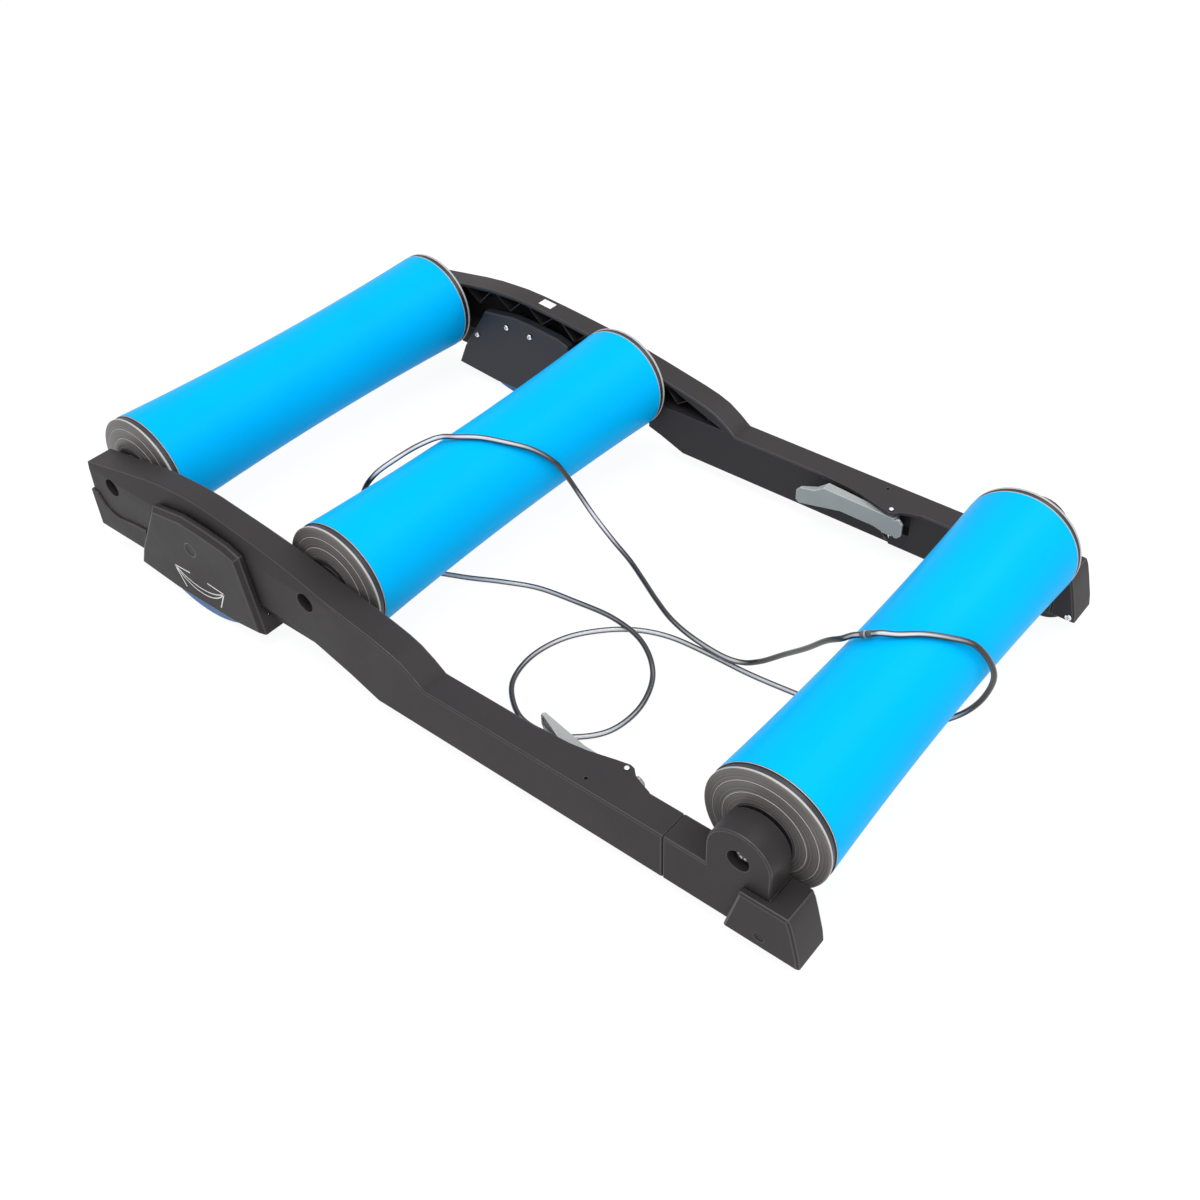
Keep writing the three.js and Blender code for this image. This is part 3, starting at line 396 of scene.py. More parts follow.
def tube_tree():
    """An open tube with a wall, whose radius falls by the square towards its middle."""
    inputs = {
        "Geometry": "Geometry", "Radius": "Float", "Waist": "Float", "Length": "Float", "Wall": "Float",
        "Sides": "Int", "Rings": "Int", "Axle": "Vector", "Material": "Material",
    }
    tree, enter, leave = new_group("waisted_tube", "GeometryNodeTree", inputs, {"Geometry": "Geometry"})

    def sums(operation, first, second):
        return put(tree, "ShaderNodeMath", {0: first, 1: second}, operation=operation).outputs[0]

    straight = put(tree, "GeometryNodeMeshCylinder", {
        "Vertices": enter["Sides"], "Side Segments": enter["Rings"],
        "Radius": enter["Radius"], "Depth": enter["Length"],
    }, fill_type="NONE")
    place = put(tree, "GeometryNodeInputPosition")
    parts = put(tree, "ShaderNodeSeparateXYZ", {0: place.outputs[0]})
    along = sums("DIVIDE", sums("MULTIPLY", parts.outputs[2], 2.0), enter["Length"])
    rise = sums("MULTIPLY", sums("MULTIPLY", along, along), sums("SUBTRACT", enter["Radius"], enter["Waist"]))
    share = sums("DIVIDE", sums("ADD", enter["Waist"], rise), enter["Radius"])
    squeeze = put(tree, "ShaderNodeCombineXYZ", {0: share, 1: share, 2: 1.0})
    drawn = put(tree, "ShaderNodeVectorMath", {
        0: place.outputs[0], 1: squeeze.outputs[0],
    }, operation="MULTIPLY")
    outer = put(tree, "GeometryNodeSetPosition", {
        "Geometry": straight.outputs[0], "Position": drawn.outputs[0],
    })
    wall = put(tree, "GeometryNodeExtrudeMesh", {
        "Mesh": outer.outputs[0], "Offset Scale": sums("MULTIPLY", enter["Wall"], -1.0), "Individual": False,
    }, mode="FACES")
    inner = put(tree, "GeometryNodeFlipFaces", {0: wall.outputs[0]})
    both = put(tree, "GeometryNodeJoinGeometry", {0: outer.outputs[0]})
    tree.links.new(inner.outputs[0], both.inputs[0])
    closed = put(tree, "GeometryNodeMergeByDistance", {"Geometry": both.outputs[0], "Distance": 0.01 * mm})
    laid = put(tree, "GeometryNodeTransform", {
        "Geometry": closed.outputs[0], "Translation": enter["Axle"], "Rotation": (math.pi / 2, 0, 0),
    })
    finish_tree(tree, laid.outputs[0], enter["Material"], leave)
    return tree


def roller_finish():
    """Smooth blue plastic: faint drawing lines along the tube and a slightly uneven gloss."""
    material, tree, place = new_material("roller_blue", {"Specular_IOR_Level": 0.02})
    drawn = put(tree, "ShaderNodeMapping", {"Vector": place, "Scale": (260.0, 5.0, 260.0)})
    lines = put(tree, "ShaderNodeTexNoise", {"Vector": drawn.outputs[0], "Scale": 1.0, "Detail": 3.0})
    cloud = put(tree, "ShaderNodeTexNoise", {
        "Vector": place, "Scale": 9.0, "Detail": 4.0, "Roughness": 0.55,
    })
    colour = put(tree, "ShaderNodeMix", {
        0: cloud.outputs[0], 6: tone(0, 178, 246), 7: tone(0, 186, 252),
    }, data_type="RGBA")
    gloss = put(tree, "ShaderNodeMapRange", {
        "Value": lines.outputs[0], "From Min": 0.3, "From Max": 0.7, "To Min": 0.3, "To Max": 0.42,
    })
    bump = put(tree, "ShaderNodeBump", {"Strength": 1.0, "Distance": 0.012 * mm, "Height": lines.outputs[0]})
    dress(tree, colour.outputs[2], gloss.outputs[0], bump.outputs[0])
    return material


waisted_tube = tube_tree()
roller_blue = roller_finish()
for name, roller in rollers.items():
    tube_mesh = grown(waisted_tube, bpy.data.meshes.new("none"), {
        "Radius": tube_radius * mm, "Waist": tube_waist * mm, "Length": tube_length * mm,
        "Wall": tube_wall * mm, "Sides": tube_sides, "Rings": tube_rings,
        "Axle": (roller["x"] * mm, 0, axle_height * mm), "Material": roller_blue,
    })
    tube_mesh.shade_smooth()
    tube_mesh.set_sharp_from_angle(angle=math.radians(40))
    add_piece(f"{name}_tube", tube_mesh, f"{name}_roller", [f"{name}_roller_tube"])

# The end caps are moulded in grey plastic and turned true on the lathe, which leaves fine rings.
# A pale lip beds each one on its tube, a dark groove runs behind the rim, and a darker
# hub carries the bearing. The rim's light grey, and a thin pale line at its outer corner, are
# painted highlights of its lit round face.
cap_spigot_radius = 49.3
cap_spigot_bore = 45.3
cap_inner_y = 172
cap_web_y = 193.8
cap_bearing_seat_y = 196.1
cap_axle_hole = 9
cap_face_radius = 52.1
cap_band_y = 192.3
cap_rim_y = 201
cap_dome = 4
cap_hub_radius = 26
cap_hub_y = 205.8
cap_bore = 14.3
cap_line_radii = (44.6, 35.3)
cap_line_half = 0.12
cap_line_rise = 0.1


def lathe_group():
    """Fine rings round an axle along Y, for a face that was turned on the lathe."""
    inputs = {"Place": "Vector", "Axle": "Vector", "Pitch Scale": "Float", "Height": "Float"}
    outputs = {"Ring": "Float", "Normal": "Vector"}
    group, enter, leave = new_group("lathe_rings", "ShaderNodeTree", inputs, outputs)
    centred = put(group, "ShaderNodeVectorMath", {0: enter["Place"], 1: enter["Axle"]}, operation="SUBTRACT")
    flat = put(group, "ShaderNodeVectorMath", {0: centred.outputs[0], 1: (1, 0, 1)}, operation="MULTIPLY")
    radius = put(group, "ShaderNodeVectorMath", {0: flat.outputs[0]}, operation="LENGTH")
    scaled = put(group, "ShaderNodeMath", {
        0: radius.outputs["Value"], 1: enter["Pitch Scale"],
    }, operation="MULTIPLY")
    rings = put(group, "ShaderNodeTexNoise", {
        "W": scaled.outputs[0], "Scale": 1.0, "Detail": 3.0,
    }, noise_dimensions="1D")
    bump = put(group, "ShaderNodeBump", {
        "Strength": 1.0, "Distance": enter["Height"], "Height": rings.outputs[0],
    })
    group.links.new(rings.outputs[0], leave["Ring"])
    group.links.new(bump.outputs[0], leave["Normal"])
    return group


lathe_rings = lathe_group()


def lathed(name, axle, dark, light, gloss, pitch=2200.0, height=0.02, **constants):
    """A material whose colour, gloss and relief follow the lathe's rings round one axle."""
    material, tree, place = new_material(name, constants)
    rings = put(tree, "ShaderNodeGroup", {
        "Place": place, "Axle": axle, "Pitch Scale": pitch, "Height": height * mm,
    }, node_tree=lathe_rings)
    share = put(tree, "ShaderNodeMapRange", {
        "Value": rings.outputs["Ring"], "From Min": 0.3, "From Max": 0.7,
    })
    colour = put(tree, "ShaderNodeMix", {0: share.outputs[0], 6: dark, 7: light}, data_type="RGBA")
    rough = put(tree, "ShaderNodeMapRange", {
        "Value": share.outputs[0], "To Min": gloss[1], "To Max": gloss[0],
    })
    dress(tree, colour.outputs[2], rough.outputs[0], rings.outputs["Normal"])
    return material


def cap_rows():
    """A cap's outline from its spigot outwards. Its finishes are face, band, rim, hub and line;
    the rim and the line at the rim's outer corner are painted highlights.
    """
    face, band, rim, hub, line = range(5)
    rows = [
        (cap_spigot_radius, cap_inner_y, band), (cap_spigot_radius, cap_band_y, line),
        (53.2, cap_band_y, line), (53.4, cap_band_y + 0.2, line), (53.4, cap_band_y + 0.9, band),
        (52.6, cap_band_y + 1.1, band), (52.6, 197.6, band), (53, 197.9, rim), (53.5, 198.5, rim),
        (53.5, 199.6, line), (53.3, 200, face), (52.9, 200.6, face), (cap_face_radius, cap_rim_y, face),
        (50.9, cap_rim_y + 0.2, face),
    ]
    for radius in cap_line_radii:
        y = cap_rim_y + cap_dome * (cap_face_radius - radius) / (cap_face_radius - cap_hub_radius)
        rows += [
            (radius + 2 * cap_line_half, y - 0.1, line), (radius + cap_line_half, y + cap_line_rise, line),
            (radius - cap_line_half, y + cap_line_rise, line), (radius - 2 * cap_line_half, y + 0.1, face),
        ]
    return [
        *rows, (cap_hub_radius + 0.6, cap_rim_y + cap_dome, hub), (cap_hub_radius, cap_rim_y + cap_dome, hub),
        (cap_hub_radius - 0.3, cap_hub_y, hub), (21, cap_hub_y, hub), (20.6, cap_hub_y - 0.5, hub),
        (19.4, cap_hub_y - 0.5, hub), (19, cap_hub_y, hub), (cap_bore + 0.4, cap_hub_y, hub),
        (cap_bore, cap_hub_y - 0.4, hub), (cap_bore, cap_bearing_seat_y, hub),
        (cap_axle_hole, cap_bearing_seat_y, hub), (cap_axle_hole, cap_web_y, hub),
        (cap_spigot_bore, cap_web_y, band), (cap_spigot_bore, cap_inner_y, band),
    ]


two_sides = (("left", 1), ("right", -1))


def to_side(place, sign):
    """Carries a form that is drawn round the Y axis for the left side to a place on either side."""
    return Matrix.Translation(place) @ Matrix.Rotation(0 if sign > 0 else math.pi, 4, "Z")


cap_groove = moulded("cap_groove", tone(34, 38, 44), tone(44, 47, 53), (0.35, 0.5), grain=900.0, height=0.02)
cap_hub_plastic = moulded("cap_hub_plastic", tone(38, 37, 40), tone(46, 44, 47), (0.4, 0.55), height=0.02)
for name, roller in rollers.items():
    axle = (roller["x"] * mm, 0, axle_height * mm)
    cap_face = lathed(
        f"{name}_cap_face", axle, tone(82, 79, 79), tone(112, 108, 107), (0.3, 0.46), pitch=900.0,
    )
    # The rim finish is a painted highlight; the line finish paints one along the rim's corner and also
    # colours the lip and the face's fine rings.
    cap_rim_highlight = lathed(f"{name}_cap_rim_highlight", axle, tone(178, 176, 174), tone(196, 194, 192), (0.25, 0.38))
    cap_lines_and_highlight = lathed(f"{name}_cap_lines_and_highlight", axle, tone(170, 166, 162), tone(190, 186, 182), (0.25, 0.4))
    for side, sign in two_sides:
        cap_mesh = turned(cap_rows(), [cap_face, cap_groove, cap_rim_highlight, cap_hub_plastic, cap_lines_and_highlight], sides=128)
        cap_mesh.transform(to_side(axle, sign))
        add_piece(f"{name}_{side}_end_cap", cap_mesh, f"{name}_roller", [f"{name}_{side}_cap"])

# Each cap turns on a sealed ball bearing: two steel rings with a dark seal between them.
# A steel axle runs through both bearings and is held at each end by a bolt through the rail.
bearing_y = 204.4
bearing_back_y = 196.4
bearing_radius = 14
bearing_bore = 6
axle_radius = 5.7
axle_edge = 0.4
axle_bore = 3.3
axle_bore_depth = 26
axle_end_gap = 0.3
ring, seal = range(2)
bearing_rows = [
    (bearing_bore, bearing_back_y, ring), (bearing_radius, bearing_back_y, ring),
    (bearing_radius, bearing_y - 0.5, ring), (bearing_radius - 0.5, bearing_y, ring),
    (12, bearing_y, ring), (11.8, bearing_y - 0.4, seal), (8.6, bearing_y - 0.4, seal),
    (8.4, bearing_y, ring), (bearing_bore + 0.3, bearing_y, ring), (bearing_bore, bearing_y - 0.3, ring),
]
for name, roller in rollers.items():
    axle = (roller["x"] * mm, 0, axle_height * mm)
    ring_steel = lathed(
        f"{name}_ring_steel", axle, tone(150, 150, 152), tone(206, 206, 208), (0.18, 0.32), Metallic=1.0,
    )
    for side, sign in two_sides:
        bearing_mesh = turned(bearing_rows, [ring_steel, cap_hub_plastic], sides=64)
        bearing_mesh.transform(to_side(axle, sign))
        add_piece(
            f"{name}_{side}_ball_bearing", bearing_mesh, f"{name}_roller",
            [f"{name}_{side}_bearing"],
        )
    reach = roller["inner_face"] - axle_end_gap
    axle_rows = [
        (0, axle_bore_depth - reach, 0), (axle_bore, axle_bore_depth - reach, 0), (axle_bore, -reach, 0),
        (axle_radius - axle_edge, -reach, 0), (axle_radius, axle_edge - reach, 0),
        (axle_radius, reach - axle_edge, 0), (axle_radius - axle_edge, reach, 0), (axle_bore, reach, 0),
        (axle_bore, reach - axle_bore_depth, 0), (0, reach - axle_bore_depth, 0),
    ]
    axle_mesh = turned(axle_rows, [ring_steel], sides=48)
    axle_mesh.transform(Matrix.Translation(axle))
    add_piece(f"{name}_axle_rod", axle_mesh, roller["carrier"], [f"{name}_axle"])

# The axle bolts are zinc-plated socket screws, sunk in round recesses on the outside of the frame.
# Each bolt's head seats on a web, bolt_web farther out than the inner face that its axle meets.
# Small round-headed screws of the same finish hold the inner housing covers and the front feet.
bolt_web = 12.3
cover_screw_y = 200.7
cover_screw_places = ((-296, 60), (-250.5, 84.4), (-217.5, 84.4))
foot_screw_place = (404.4, 206.7, 18)


def set_out_tree():
    """Copies a form to each point, with its Y axis turned to the point's facing direction."""
    inputs = {"Geometry": "Geometry", "Form": "Object", "Material": "Material"}
    tree, enter, leave = new_group("set_out", "GeometryNodeTree", inputs, {"Geometry": "Geometry"})
    form = put(tree, "GeometryNodeObjectInfo", {"Object": enter["Form"], "As Instance": True})
    facing = put(tree, "GeometryNodeInputNamedAttribute", {"Name": "facing"}, data_type="FLOAT_VECTOR")
    turn = put(tree, "FunctionNodeAlignRotationToVector", {"Vector": facing.outputs[0]}, axis="Y")
    copies = put(tree, "GeometryNodeInstanceOnPoints", {
        "Points": enter["Geometry"], "Instance": form.outputs["Geometry"], "Rotation": turn.outputs[0],
    })
    finish_tree(tree, copies.outputs[0], enter["Material"], leave)
    return tree


set_out = set_out_tree()


def fixings(name, form, places, body, material, stands_for):
    """One piece that holds a copy of a form at each (place, facing), all on one body."""
    pattern = placed("pattern", form)
    points = bpy.data.meshes.new("points")
    points.from_pydata([Vector(place) * mm for place, _ in places], [], [])
    facing = points.attributes.new("facing", "FLOAT_VECTOR", "POINT")
    for i, (_, direction) in enumerate(places):
        facing.data[i].vector = direction
    mesh = grown(set_out, points, {"Form": pattern, "Material": material})
    bpy.data.objects.remove(pattern)
    return add_piece(name, outward(mesh), body, stands_for)


def on_both_sides(x, y, z):
    """A place on the left and its mirror image, each with its direction away from the middle."""
    return [((x, sign * y, z), (0, sign, 0)) for _, sign in two_sides]


def plated(name, dark, light, gloss, scale=420.0):
    """Zinc plate: fine clouds of lighter and darker crystals."""
    return moulded(name, dark, light, gloss, cloud=scale, grain=2600.0, height=0.008, Metallic=1.0)


bolt_zinc = plated("bolt_zinc", tone(168, 168, 172), tone(214, 214, 218), (0.18, 0.34))
screw_zinc = plated("screw_zinc", tone(226, 226, 228), tone(250, 250, 251), (0.2, 0.34))


def hexagon(angle):
    """How far a hexagon's side lies out at an angle, as a share of its half width."""
    return 1 / math.cos((angle + math.pi / 6) % (math.pi / 3) - math.pi / 6)


def cross(angle):
    """How far a cross recess reaches at an angle, as a share of its wings."""
    return 0.36 + 0.64 * abs(math.cos(2 * angle)) ** 3


bolt_rows = [
    (0, -26, 0), (2.6, -26, 0), (3, -25.6, 0), (3, 0, 0), (6.2, 0, 0), (6.5, 0.3, 0), (6.5, 6.7, 0),
    (5.8, 7.4, 0), (3.4, 7.4, 0), (3, 7.2, 0, "hexagon"), (3, 4.4, 0, "hexagon"), (0, 3.8, 0),
]
for body in ("frame", "front_section"):
    places, solids = [], []
    for name, roller in rollers.items():
        if roller["carrier"] == body:
            seat = roller["inner_face"] + bolt_web
            for side, sign in two_sides:
                places.append(((roller["x"], sign * seat, axle_height), (0, sign, 0)))
                solids.append(f"{name}_{side}_bolt")
    bolt_form = turned(bolt_rows, [bolt_zinc], sides=48, recess=hexagon)
    fixings(f"{body}_axle_bolts", bolt_form, places, body, bolt_zinc, solids)

screw_rows = [
    (0, 12.3, 0), (1.2, 12.3, 0), (1.6, 11.6, 0), (1.6, 0, 0), (3.1, 0, 0), (3.1, -0.4, 0), (2.8, -0.85, 0),
    (2.3, -1.1, 0), (2.1, -1.2, 0), (2, -1.2, 0, "cross"), (1.7, 0.4, 0, "cross"), (0, 0.6, 0),
]
cover_screws = [
    ((x, sign * cover_screw_y, z), (0, sign, 0)) for _, sign in two_sides for x, z in cover_screw_places
]
screw_form = turned(screw_rows, [screw_zinc], sides=32, recess=cross)
fixings(
    "cover_screws", screw_form, cover_screws, "frame", screw_zinc,
    [f"{side}_cover_screw_{i}" for side, _ in two_sides for i in (1, 2, 3)],
)
fixings(
    "foot_screws", screw_form, on_both_sides(*foot_screw_place), "front_section", screw_zinc,
    ["left_foot_screw", "right_foot_screw"],
)

# The side rails are one moulding each, in dark grained plastic: a ribbed arch over the two rear
# rollers that runs into a flat sleeve, from which the front section slides. Edges are rounded,
# and the rounding is painted a shade lighter as a highlight.
rail_rounding = 0.5


def joined(node, merge=0.02, flat=0.8):
    """A copy of a CAD solid. Corners nearer than the first limit in mm become one, and triangles
    that turn by less than the second one in degrees are joined into flat faces."""
    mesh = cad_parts[node].data.copy()
    mesh.materials.clear()
    form = bmesh.new()
    form.from_mesh(mesh)
    bmesh.ops.remove_doubles(form, verts=form.verts, dist=merge * mm)
    bmesh.ops.dissolve_limit(form, angle_limit=math.radians(flat), verts=form.verts, edges=form.edges)
    form.to_mesh(mesh)
    form.free()
    return mesh


def rounded(mesh, radius, finishes, turns=2, limit=24, soft=34):
    """Rounds the edges that turn outwards by more than a limit in degrees, and shades softer ones
    smooth. The rounded edges take the last finish, a lighter one that paints a highlight along
    them, and the rest the first."""
    form = bmesh.new()
    form.from_mesh(mesh)
    worn = form.edges.layers.float.new("bevel_weight_edge")
    for edge in form.edges:
        turn = math.degrees(edge.calc_face_angle_signed(0))
        edge[worn] = float(turn > limit)
        edge.smooth = turn > limit or abs(turn) < soft
    for face in form.faces:
        face.smooth = True
        face.material_index = 0
    form.to_mesh(mesh)
    form.free()
    for finish in finishes:
        mesh.materials.append(finish)
    carrier = placed("carrier", mesh)
    edges = carrier.modifiers.new("rounded edges", "BEVEL")
    edges.width = radius * mm
    edges.segments = turns
    edges.limit_method = "WEIGHT"
    edges.use_clamp_overlap = False
    edges.material = len(finishes) - 1
    shade = carrier.modifiers.new("even shading", "WEIGHTED_NORMAL")
    shade.keep_sharp = True
    return settled(carrier)


rail_plastic = moulded(
    "rail_plastic", tone(44, 41, 43), tone(52, 48, 49), (0.42, 0.6), cloud=9.0, grain=1300.0, height=0.04,
    Specular_IOR_Level=0.22,
)
# The edge finish is a painted highlight: a shade lighter and glossier than the plastic, on the rounded edges.
rail_edge_highlight = moulded("rail_edge_highlight", tone(50, 47, 48), tone(58, 55, 56), (0.3, 0.45), cloud=30.0, height=0.03)
for side, _ in two_sides:
    rail_mesh = rounded(joined(f"{side}_rail"), rail_rounding, [rail_plastic, rail_edge_highlight])
    add_piece(f"{side}_side_rail", rail_mesh, "frame", [f"{side}_rail"])

# A small blank paper label is stuck on the left rail's top, just behind the highest point.
label_corner = Vector((-214.5, 215.5))
label_along = 16
label_across = 10.5
label_steps = 10
label_height = 0.12
above_rail = 200
label_paper = moulded(
    "label_paper", tone(238, 238, 236), tone(246, 246, 245), (0.4, 0.5), cloud=200.0, grain=3000.0,
    height=0.01,
)


def thickened(form, name, offset, finish):
    """A mesh with a finish of the sheet that a bmesh holds, made thick by an offset."""
    slab = bmesh.ops.extrude_face_region(form, geom=form.faces[:])
    for corner in slab["geom"]:
        if isinstance(corner, bmesh.types.BMVert):
            corner.co += Vector(offset) * mm
    bmesh.ops.recalc_face_normals(form, faces=form.faces)
    mesh = bpy.data.meshes.new(name)
    form.to_mesh(mesh)
    form.free()
    mesh.materials.append(finish)
    return mesh


rail_surface = BVHTree.FromObject(bpy.data.objects["left_side_rail"], bpy.context.evaluated_depsgraph_get())
label_points = []
for i in range(label_steps + 1):
    for j in range(label_steps + 1):
        x = label_corner.x + label_along * i / label_steps
        y = label_corner.y + label_across * j / label_steps
        hit = rail_surface.ray_cast(Vector((x, y, above_rail)) * mm, Vector((0, 0, -1)))[0]
        label_points.append((x * mm, y * mm, hit.z))
label_row = label_steps + 1
label_faces = []
for i in range(label_steps):
    for j in range(label_steps):
        a = i * label_row + j
        label_faces.append((a, a + label_row, a + label_row + 1, a + 1))
label_sheet = bpy.data.meshes.new("label_sheet")
label_sheet.from_pydata(label_points, [], label_faces)
label_form = bmesh.new()
label_form.from_mesh(label_sheet)
label_mesh = thickened(label_form, "label", (0, 0, label_height), label_paper)
add_piece("blank_label", label_mesh, "frame")

# The front section is a hollow beam that slides in each rail, with a shoulder that carries on the
# sleeve's line and an upstand for the front axle. It is moulded in the rail's plastic.
slide_rounding = 0.6
# The slides' rounded edges take the lighter edge finish, a painted highlight.
for side, _ in two_sides:
    slide_mesh = rounded(joined(f"{side}_front_slide"), slide_rounding, [rail_plastic, rail_edge_highlight])
    add_piece(f"{side}_front_arm", slide_mesh, "front_section", [f"{side}_front_slide"])

# A foot caps each front corner: a thick moulded shell over the shoulder, held by one screw.
# A rubber-tyred wheel stands inside it on a steel pin, so that the set can be rolled along.
foot_rounding = 0.7
wheel_x = 376.5
wheel_radius = 24
wheel_inner_y = 212.5
wheel_width = 23
wheel_bore = 3.3
wheel_core_radius = 14
tread_grooves = 4
tread_margin = 3
tread_lead = 0.35
tread_depth = 1
tread_gap = 1.4
tread_slope = 0.3
wheel_pin_radius = 3
wheel_pin_length = 32.6
wheel_pin_y = 208
# The feet's rounded edges take the lighter edge finish, a painted highlight.
for side, _ in two_sides:
    foot_mesh = rounded(joined(f"{side}_foot"), foot_rounding, [rail_plastic, rail_edge_highlight])
    add_piece(f"{side}_corner_foot", foot_mesh, "front_section", [f"{side}_foot"])

wheel_rubber = moulded(
    "wheel_rubber", tone(38, 37, 37), tone(50, 48, 47), (0.65, 0.85), grain=900.0, height=0.06,
)
wheel_core = moulded("wheel_core", tone(92, 94, 96), tone(104, 106, 108), (0.4, 0.55))
wheel_pin_black = plated("wheel_pin_black", tone(58, 56, 56), tone(74, 72, 71), (0.4, 0.55))
rubber, core = range(2)
tread_pitch = (wheel_width - 2 * tread_margin) / tread_grooves
for side, sign in two_sides:
    y = wheel_inner_y
    wheel_rows = [
        (wheel_bore, y, core), (wheel_core_radius, y, core), (14.4, y + 0.8, rubber),
        (15, y + 0.8, rubber), (15.4, y, rubber), (21.2, y, rubber), (23, y + 1, rubber),
        (wheel_radius, y + 2.6, rubber),
    ]
    for groove in range(tread_grooves):
        start = y + tread_margin + tread_pitch * (groove + tread_lead)
        wheel_rows += [
            (wheel_radius, start - tread_slope, rubber), (wheel_radius - tread_depth, start, rubber),
            (wheel_radius - tread_depth, start + tread_gap, rubber),
            (wheel_radius, start + tread_gap + tread_slope, rubber),
        ]
    y += wheel_width
    wheel_rows += [
        (wheel_radius, y - 2.6, rubber), (23, y - 1, rubber), (21.2, y, rubber), (15.4, y, rubber),
        (15, y - 0.8, rubber), (14.4, y - 0.8, core), (wheel_core_radius, y, core), (wheel_bore, y, core),
    ]
    wheel_mesh = turned(wheel_rows, [wheel_rubber, wheel_core], sides=64)
    wheel_mesh.transform(to_side((wheel_x * mm, 0, wheel_radius * mm), sign))
    add_piece(f"{side}_road_wheel", wheel_mesh, f"{side}_wheel", [f"{side}_wheel"])


def rod_rows(radius, start, end, edge=0.4):
    """The outline of a plain pin along Y, turned down a little at both ends."""
    return [
        (0, start, 0), (radius - edge, start, 0), (radius, start + edge, 0),
        (radius, end - edge, 0), (radius - edge, end, 0), (0, end, 0),
    ]


wheel_pin_form = turned(rod_rows(wheel_pin_radius, 0, wheel_pin_length), [wheel_pin_black], sides=32)
fixings(
    "wheel_pins", wheel_pin_form, on_both_sides(wheel_x, wheel_pin_y, wheel_radius),
    "front_section", wheel_pin_black, ["left_wheel_pin", "right_wheel_pin"],
)

# Each rail has a swing housing under its arch, closed by a deep outer cover and a flat inner one,
# both moulded in dark plastic. The outer cover has a shallow dish over the pivot, and the inner
# one a ring sunk round each of its screws.
dish_radius = 7.2
dish_depth = 0.8
dish_place = (-232.5, 76.4)
cover_face_y = 245
inner_cover_y = 201
screw_ring_radius = 4.3
screw_ring_bore = 2.6
screw_ring_depth = 0.8
outer_rounding = 0.9
inner_rounding = 0.5
cover_plastic = moulded(
    "cover_plastic", tone(43, 40, 41), tone(51, 47, 47), (0.42, 0.58), cloud=11.0, grain=1300.0, height=0.04,
    Specular_IOR_Level=0.25,
)
inner_cover_plastic = moulded(
    "inner_cover_plastic", tone(34, 36, 43), tone(41, 43, 50), (0.36, 0.5), cloud=11.0, grain=1300.0,
    height=0.04, Specular_IOR_Level=0.35,
)


def sunk(mesh, rows, places):
    """Cuts a turned form, its Y axis outwards, into a mesh at each (x, z, side)."""
    carrier = placed("carrier", mesh)
    cutters = []
    for x, z, sign in places:
        cutter_mesh = turned(rows, [], sides=48)
        cutter_mesh.transform(to_side((x * mm, 0, z * mm), sign))
        cutter = placed("cutter", cutter_mesh)
        cutters.append(cutter)
        cut = carrier.modifiers.new("cut", "BOOLEAN")
        cut.object = cutter
        cut.solver = "EXACT"
    sunk_mesh = settled(carrier)
    for cutter in cutters:
        bpy.data.objects.remove(cutter)
    return sunk_mesh


dish_floor_y = cover_face_y - dish_depth
dish_rows = [
    (0, dish_floor_y, 0), (dish_radius - 1.2, dish_floor_y, 0), (dish_radius, cover_face_y, 0),
    (dish_radius, cover_face_y + 2, 0), (0, cover_face_y + 2, 0),
]
ring_floor_y = inner_cover_y + screw_ring_depth
ring_rows = [
    (screw_ring_bore, inner_cover_y - 1, 0), (screw_ring_bore, ring_floor_y, 0),
    (screw_ring_radius, ring_floor_y, 0), (screw_ring_radius, inner_cover_y - 1, 0),
]
# The covers' rounded edges take the lighter edge finish, a painted highlight.
for side, sign in two_sides:
    outer_mesh = sunk(joined(f"{side}_outer_cover"), dish_rows, [(*dish_place, sign)])
    outer_mesh = rounded(outer_mesh, outer_rounding, [cover_plastic, rail_edge_highlight])
    add_piece(f"{side}_housing_cover", outer_mesh, "frame", [f"{side}_outer_cover"])
    ring_places = [(x, z, sign) for x, z in cover_screw_places]
    inner_mesh = sunk(joined(f"{side}_inner_cover"), ring_rows, ring_places)
    inner_mesh = rounded(inner_mesh, inner_rounding, [inner_cover_plastic, rail_edge_highlight])
    add_piece(f"{side}_housing_plate", inner_mesh, "frame", [f"{side}_inner_cover"])

# A swing arrow is printed in white on each outer cover: two arcs that meet at their ends,
# with an arrow head of two strokes at either end.
arrow_middle = (-231.2, 42.9)
arrow_reach = 34.8
arrow_sags = (11.2, 17.1)
arrow_arms = ((22.3, 1.3), (10.4, -21.4))
arrow_stroke = 1.1
arrow_head_stroke = 1.265
arrow_steps = 24
print_height = 0.06


def arc_line(sag):
    """Points on the arc from one arrow tip to the other, lower in the middle by the sag."""
    radius = (arrow_reach**2 + sag**2) / (2 * sag)
    half = math.asin(arrow_reach / radius)
    line = []
    for i in range(arrow_steps + 1):
        angle = half * (2 * i / arrow_steps - 1)
        line.append((radius * math.sin(angle), radius - sag - radius * math.cos(angle)))
    return line


def stroke(form, line, width, y):
    """Adds a flat stroke of a width along a line of (across, up) to a bmesh, at a Y."""
    pairs = []
    for i, (across, up) in enumerate(line):
        before, after = line[max(i - 1, 0)], line[min(i + 1, len(line) - 1)]
        run = Vector((after[0] - before[0], after[1] - before[1])).normalized()
        offset = Vector((-run.y, run.x)) * width / 2
        pairs.append([
            form.verts.new((
                (arrow_middle[0] + across + k * offset.x) * mm, y * mm,
                (arrow_middle[1] + up + k * offset.y) * mm,
            ))
            for k in (1, -1)
        ])
    for (a, b), (c, d) in zip(pairs, pairs[1:]):
        form.faces.new((a, b, d, c))


